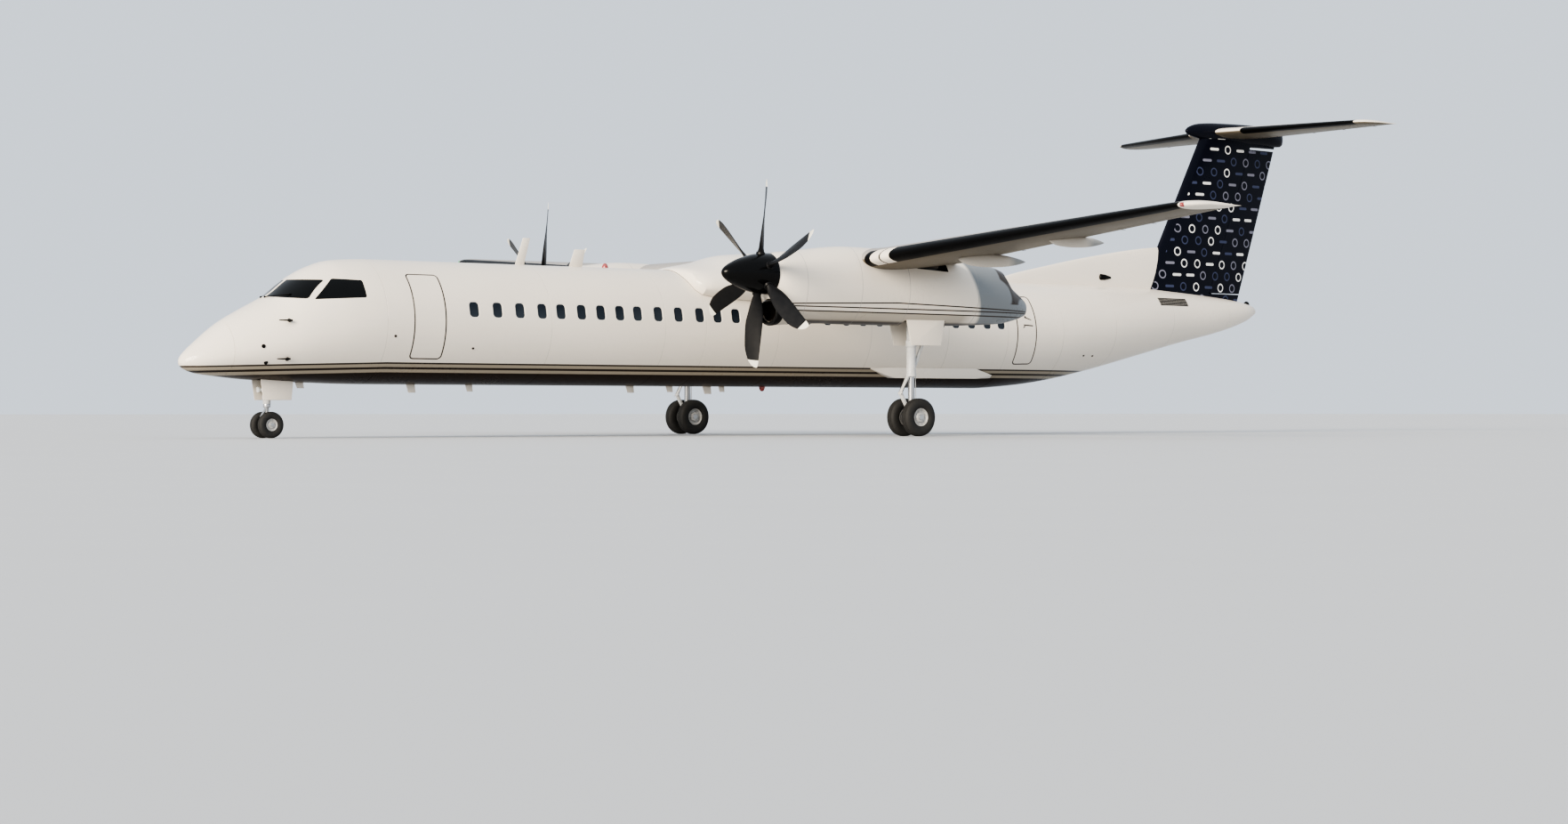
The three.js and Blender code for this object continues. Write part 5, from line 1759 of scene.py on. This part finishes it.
class BuildGear(bpy.types.Operator):
    """Landing gear: legs, wheels and gear doors"""
    bl_idname = "airliner.gear"
    bl_label = "Landing gear"

    def execute(self, context):
        for name, side in SIDES.items():
            self.main_gear(name, (station(MAIN_WHEEL.x), side * ENGINE_Y * MM, 0))
        self.nose_gear((station(NOSE_WHEEL.x), 0, 0))
        return {"FINISHED"}

    def main_gear(self, name, foot):
        x, y, _ = foot
        axle = (x, y, MAIN_WHEEL.radius * MM)
        leg = begin(f"main_leg_casting_{name}")
        turned(MAIN_LEG, foot)
        add_rods(MAIN_RODS, foot)
        add_links(MAIN_LINKS, MAIN_LINK_PIN, x, y)
        turned(both_faces(MAIN_SLEEVE), axle, SMALL_SIDES, "Y")
        turned(MAIN_FOOT, foot)
        add_rods(MAIN_HOSES, foot)
        dress(bevelled(turn_outwards(leg), 0.004), "gear_paint", stands_for=[f"main_leg_{name}"])
        bright = begin(f"main_piston_{name}")
        turned(MAIN_PISTON, foot, ROUND_SIDES)
        turned(both_faces(MAIN_AXLE), axle, SMALL_SIDES, "Y")
        dress(turn_outwards(bright), "bare_steel")
        brakes = begin(f"main_brakes_{name}")
        for way in SIDES.values():
            turned([(way * place, radius) for place, radius in MAIN_BRAKE], axle, 40, "Y")
        dress(turn_outwards(brakes), "dark_metal")
        wheel_pair(f"main_{name}", MAIN_WHEEL, axle, f"main_wheels_{name}")
        for place in ("inner", "outer"):
            gear_door(f"main_door_{name}_{place}", f"main_door_sheet_{name}_{place}")

    def nose_gear(self, foot):
        x = foot[0]
        axle = (x, 0, NOSE_WHEEL.radius * MM)
        leg = begin("nose_leg_casting")
        turned(NOSE_LEG, foot)
        add_rods(NOSE_RODS, foot)
        dress(bevelled(turn_outwards(leg), 0.003), "gear_paint", stands_for=["nose_leg"])
        lamps = begin("nose_lamps")
        across, height = NOSE_LAMP_PLACE
        for way in SIDES.values():
            turned(NOSE_LAMP, (x, way * across, height), 24, "X")
            add_rod((x - 0.1, way * across, height), (x, way * 0.05, height), 0.012, sides=12)
        dress(turn_outwards(lamps), "lamp")
        fork = begin("nose_piston_casting")
        turned(NOSE_PISTON, foot)
        turned(both_faces(NOSE_SLEEVE), axle, SMALL_SIDES, "Y")
        turned(both_faces(NOSE_AXLE), axle, SMALL_SIDES, "Y")
        add_links(NOSE_LINKS, NOSE_LINK_PIN, x, 0)
        bevelled(turn_outwards(fork), 0.003)
        dress(fork, "bare_steel", "nose_steering_body", ["nose_steering"])
        wheel_pair("nose", NOSE_WHEEL, axle, "nose_wheels")
        for name in SIDES:
            gear_door(f"nose_door_{name}", f"nose_door_sheet_{name}")


def spot(side, x, y, z):
    """A place at a station, a distance out on one side and a level."""
    return Vector((station(x), side * y * MM, level(z)))


class BuildFittings(bpy.types.Operator):
    """Antennas, probes, wipers, lights, louvres, handles and static wicks"""
    bl_idname = "airliner.fittings"
    bl_label = "Small fittings"

    def execute(self, context):
        antennas = begin("antennas")
        for x0, x1, foot, tip, sweep in ANTENNAS:
            shorter = (x1 - x0) * ANTENNA_TAPER
            corners = ((x0, foot), (x1, foot), (x1 + sweep - shorter, tip), (x0 + sweep, tip))
            add_plate([(station(x), level(z)) for x, z in corners], "Y", -ANTENNA_HALF, ANTENNA_HALF)
        dress(bevelled(turn_outwards(antennas), 0.007), "plain_white")
        domes = begin("beacons")
        for x, z, way in BEACONS:
            turned([(way * place, radius) for place, radius in BEACON], (station(x), 0, level(z)), 24)
        dress(turn_outwards(domes), "red_lens", angle=DOMED)
        tail = begin("tail_lamp")
        x, z = TAIL_LAMP_PLACE
        turned(TAIL_LAMP, (station(x), 0, level(z)), 24)
        dress(turn_outwards(tail), "dark_glass", angle=DOMED)
        for name, side in SIDES.items():
            self.nose_fittings(name, side)
            self.position_light(name, side)
            self.static_wicks(name, side)
            self.louvres(name, side)
            self.door_marks(name, side)
        scoop = begin("tail_scoop")
        extrude_rings(scoop, oval_rings(SCOOP, SCOOP_Y), 20)
        dress(turn_outwards(scoop), "boot_black", angle=ROLLED)
        return {"FINISHED"}

    def nose_fittings(self, name, side):
        probes = begin(f"probes_{name}")
        for x, z in PROBES:
            foot = spot(side, x, skin_out(x, z) - 20, z)
            head = foot + Vector((-0.03, side * 0.12, 0))
            add_rod(foot, head, 0.045, 0.022, sides=16)
            add_rod(head + Vector((0.04, 0, 0)), head + Vector((-0.26, 0, 0)), 0.02, 0.011, sides=16)
        for x, z in PORTS:
            out = skin_out(x, z)
            add_rod(spot(side, x, out - 40, z), spot(side, x - 15, out + 10, z), 0.05, 0.04, sides=20)
        dress(turn_outwards(probes), "boot_black")
        wiper = begin(f"wiper_{name}")
        low, high = [spot(side, skin_station(y, z) - 22, y, z) for y, z in WIPER]
        add_rod(low, high, 0.012, sides=12)
        add_rod(low + Vector((0.05, 0, -0.02)), low - Vector((0.02, 0, 0)), 0.022, sides=12)
        add_rod(high, high + Vector((0.04, 0, 0)), 0.016, sides=12)
        dress(turn_outwards(wiper), "boot_black")

    def position_light(self, name, side):
        light = begin(f"position_light_{name}")
        tip = section_at(WING, POSITION_LIGHT_OUT + 20)
        turned(POSITION_LIGHT, spot(side, tip.x + 20, POSITION_LIGHT_OUT, tip.rise), 20, "X")
        dress(turn_outwards(light), "red_lens" if side < 0 else "green_lens", angle=DOMED)

    def static_wicks(self, name, side):
        for group, places in WICKS.items():
            wicks = begin(f"static_wicks_{group}_{name}")
            for out in places:
                cut = section_at(TAILPLANE if group == "elevator" else WING, out)
                foot = spot(side, cut.x + cut.chord, out, cut.rise)
                add_rod(foot - Vector((0.02, 0, 0)), foot + Vector((0.13, 0, 0)), 0.005, 0.003, sides=8)
            body = "airframe" if group == "wing" else f"{group}_{name}_body"
            dress(turn_outwards(wicks), "boot_black", body)

    def louvres(self, name, side):
        louvres = begin(f"louvres_{name}")
        front, rear, lowest, step, high, proud, deep, count = LOUVRES
        for i in range(count):
            z = lowest + step * i
            corners = [(station(x), side * (skin_out(x, z) + out) * MM)
                       for x, out in ((front, proud), (rear, proud), (rear, deep), (front, deep))]
            add_plate(corners, "Z", level(z), level(z + high))
        # The louvres are black bars that stand for the shade in their slots: painted shade.
        dress(turn_outwards(louvres), "boot_black")

    def door_marks(self, name, side):
        marks = begin(f"door_handles_{name}")
        front = (REAR_DOOR if side < 0 else SERVICE_DOOR).x0
        out = CABIN_RADIUS - 2
        for x, z, long, high, slope in DOOR_MARKS:
            angle = math.asin(z / CABIN_RADIUS)
            place = spot(side, front + x, out * math.cos(angle), out * math.sin(angle))
            turn = (side * angle, math.radians(slope), 0)
            bpy.ops.mesh.primitive_cube_add(size=1, location=place, rotation=turn, scale=(long, 0.02, high))
        for x, z in VENTS:
            out = skin_out(x, z)
            add_rod(spot(side, x, out - 20, z), spot(side, x, out + 5, z), 0.032, sides=12)
        dress(bevelled(turn_outwards(marks), 0.003), "dark_metal")


class BuildStage(bpy.types.Operator):
    """Floor, soft lights and camera"""
    bl_idname = "airliner.stage"
    bl_label = "Stage"

    def execute(self, context):
        for name in ("Cube", "Light", "Camera"):
            if name in bpy.data.objects:
                scrap(bpy.data.objects[name])
        stage = context.scene.airliner_stage
        floor = begin("floor")
        bpy.ops.mesh.primitive_plane_add(size=FLOOR_SIZE, location=(0, 0, 0))
        stop_editing()
        floor.data.materials.append(finish("pale_floor"))
        world = bpy.data.worlds.new("studio")
        world.use_nodes = True
        back = world.node_tree.nodes["Background"]
        back.inputs["Color"].default_value = rgb(SKY_COLOUR)
        back.inputs["Strength"].default_value = stage.daylight
        context.scene.world = world
        context.scene.view_settings.look = "AgX - High Contrast"
        turn = Vector(SUN_WAY).to_track_quat("-Z", "Y").to_euler()
        bpy.ops.object.light_add(type="SUN", location=SUN_PLACE, rotation=turn)
        sun = context.object.data
        sun.energy, sun.angle, sun.color = stage.sun, SUN_SPREAD, SUN_COLOUR
        turn = Vector(CAMERA_WAY).to_track_quat("-Z", "Y").to_euler()
        bpy.ops.object.camera_add(location=(*CAMERA_PLACE, stage.camera_height), rotation=turn)
        context.scene.camera = context.object
        camera = context.object.data
        camera.lens, camera.sensor_width, camera.clip_end = stage.lens, 36, 1000
        return {"FINISHED"}


class AIRLINER_PT_panel(bpy.types.Panel):
    """Lists the airliner's settings and its steps"""
    bl_label = "Airliner"
    bl_idname = "AIRLINER_PT_panel"
    bl_space_type = "VIEW_3D"
    bl_region_type = "UI"
    bl_category = "Airliner"

    def draw(self, context):
        scene = context.scene
        for group in (scene.airliner_paint, scene.airliner_fittings, scene.airliner_stage):
            for name in group.__annotations__:
                self.layout.prop(group, name)
        for step in STEPS:
            self.layout.operator(step.bl_idname)


STEPS = (
    BuildHull, BuildPanes, BuildDoors, BuildFairings, BuildWings, BuildTail, BuildNacelles, BuildPropellers,
    BuildGear, BuildFittings, BuildStage,
)
GROUPS = {
    "airliner_paint": AirlinerPaint,
    "airliner_fittings": AirlinerFittings,
    "airliner_stage": AirlinerStage,
}


def register():
    for item in (*GROUPS.values(), *STEPS, AIRLINER_PT_panel):
        bpy.utils.register_class(item)
    for name, group in GROUPS.items():
        setattr(bpy.types.Scene, name, bpy.props.PointerProperty(type=group))


def unregister():
    for name in GROUPS:
        delattr(bpy.types.Scene, name)
    for item in reversed((*GROUPS.values(), *STEPS, AIRLINER_PT_panel)):
        bpy.utils.unregister_class(item)


def main():
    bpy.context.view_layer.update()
    register()
    bpy.ops.airliner.hull()
    bpy.ops.airliner.panes()
    bpy.ops.airliner.doors()
    bpy.ops.airliner.fairings()
    bpy.ops.airliner.wings()
    bpy.ops.airliner.tail()
    bpy.ops.airliner.nacelles()
    bpy.ops.airliner.propellers()
    bpy.ops.airliner.gear()
    bpy.ops.airliner.fittings()
    bpy.ops.airliner.stage()
    stop_editing()


if __name__ == "__main__":
    main()
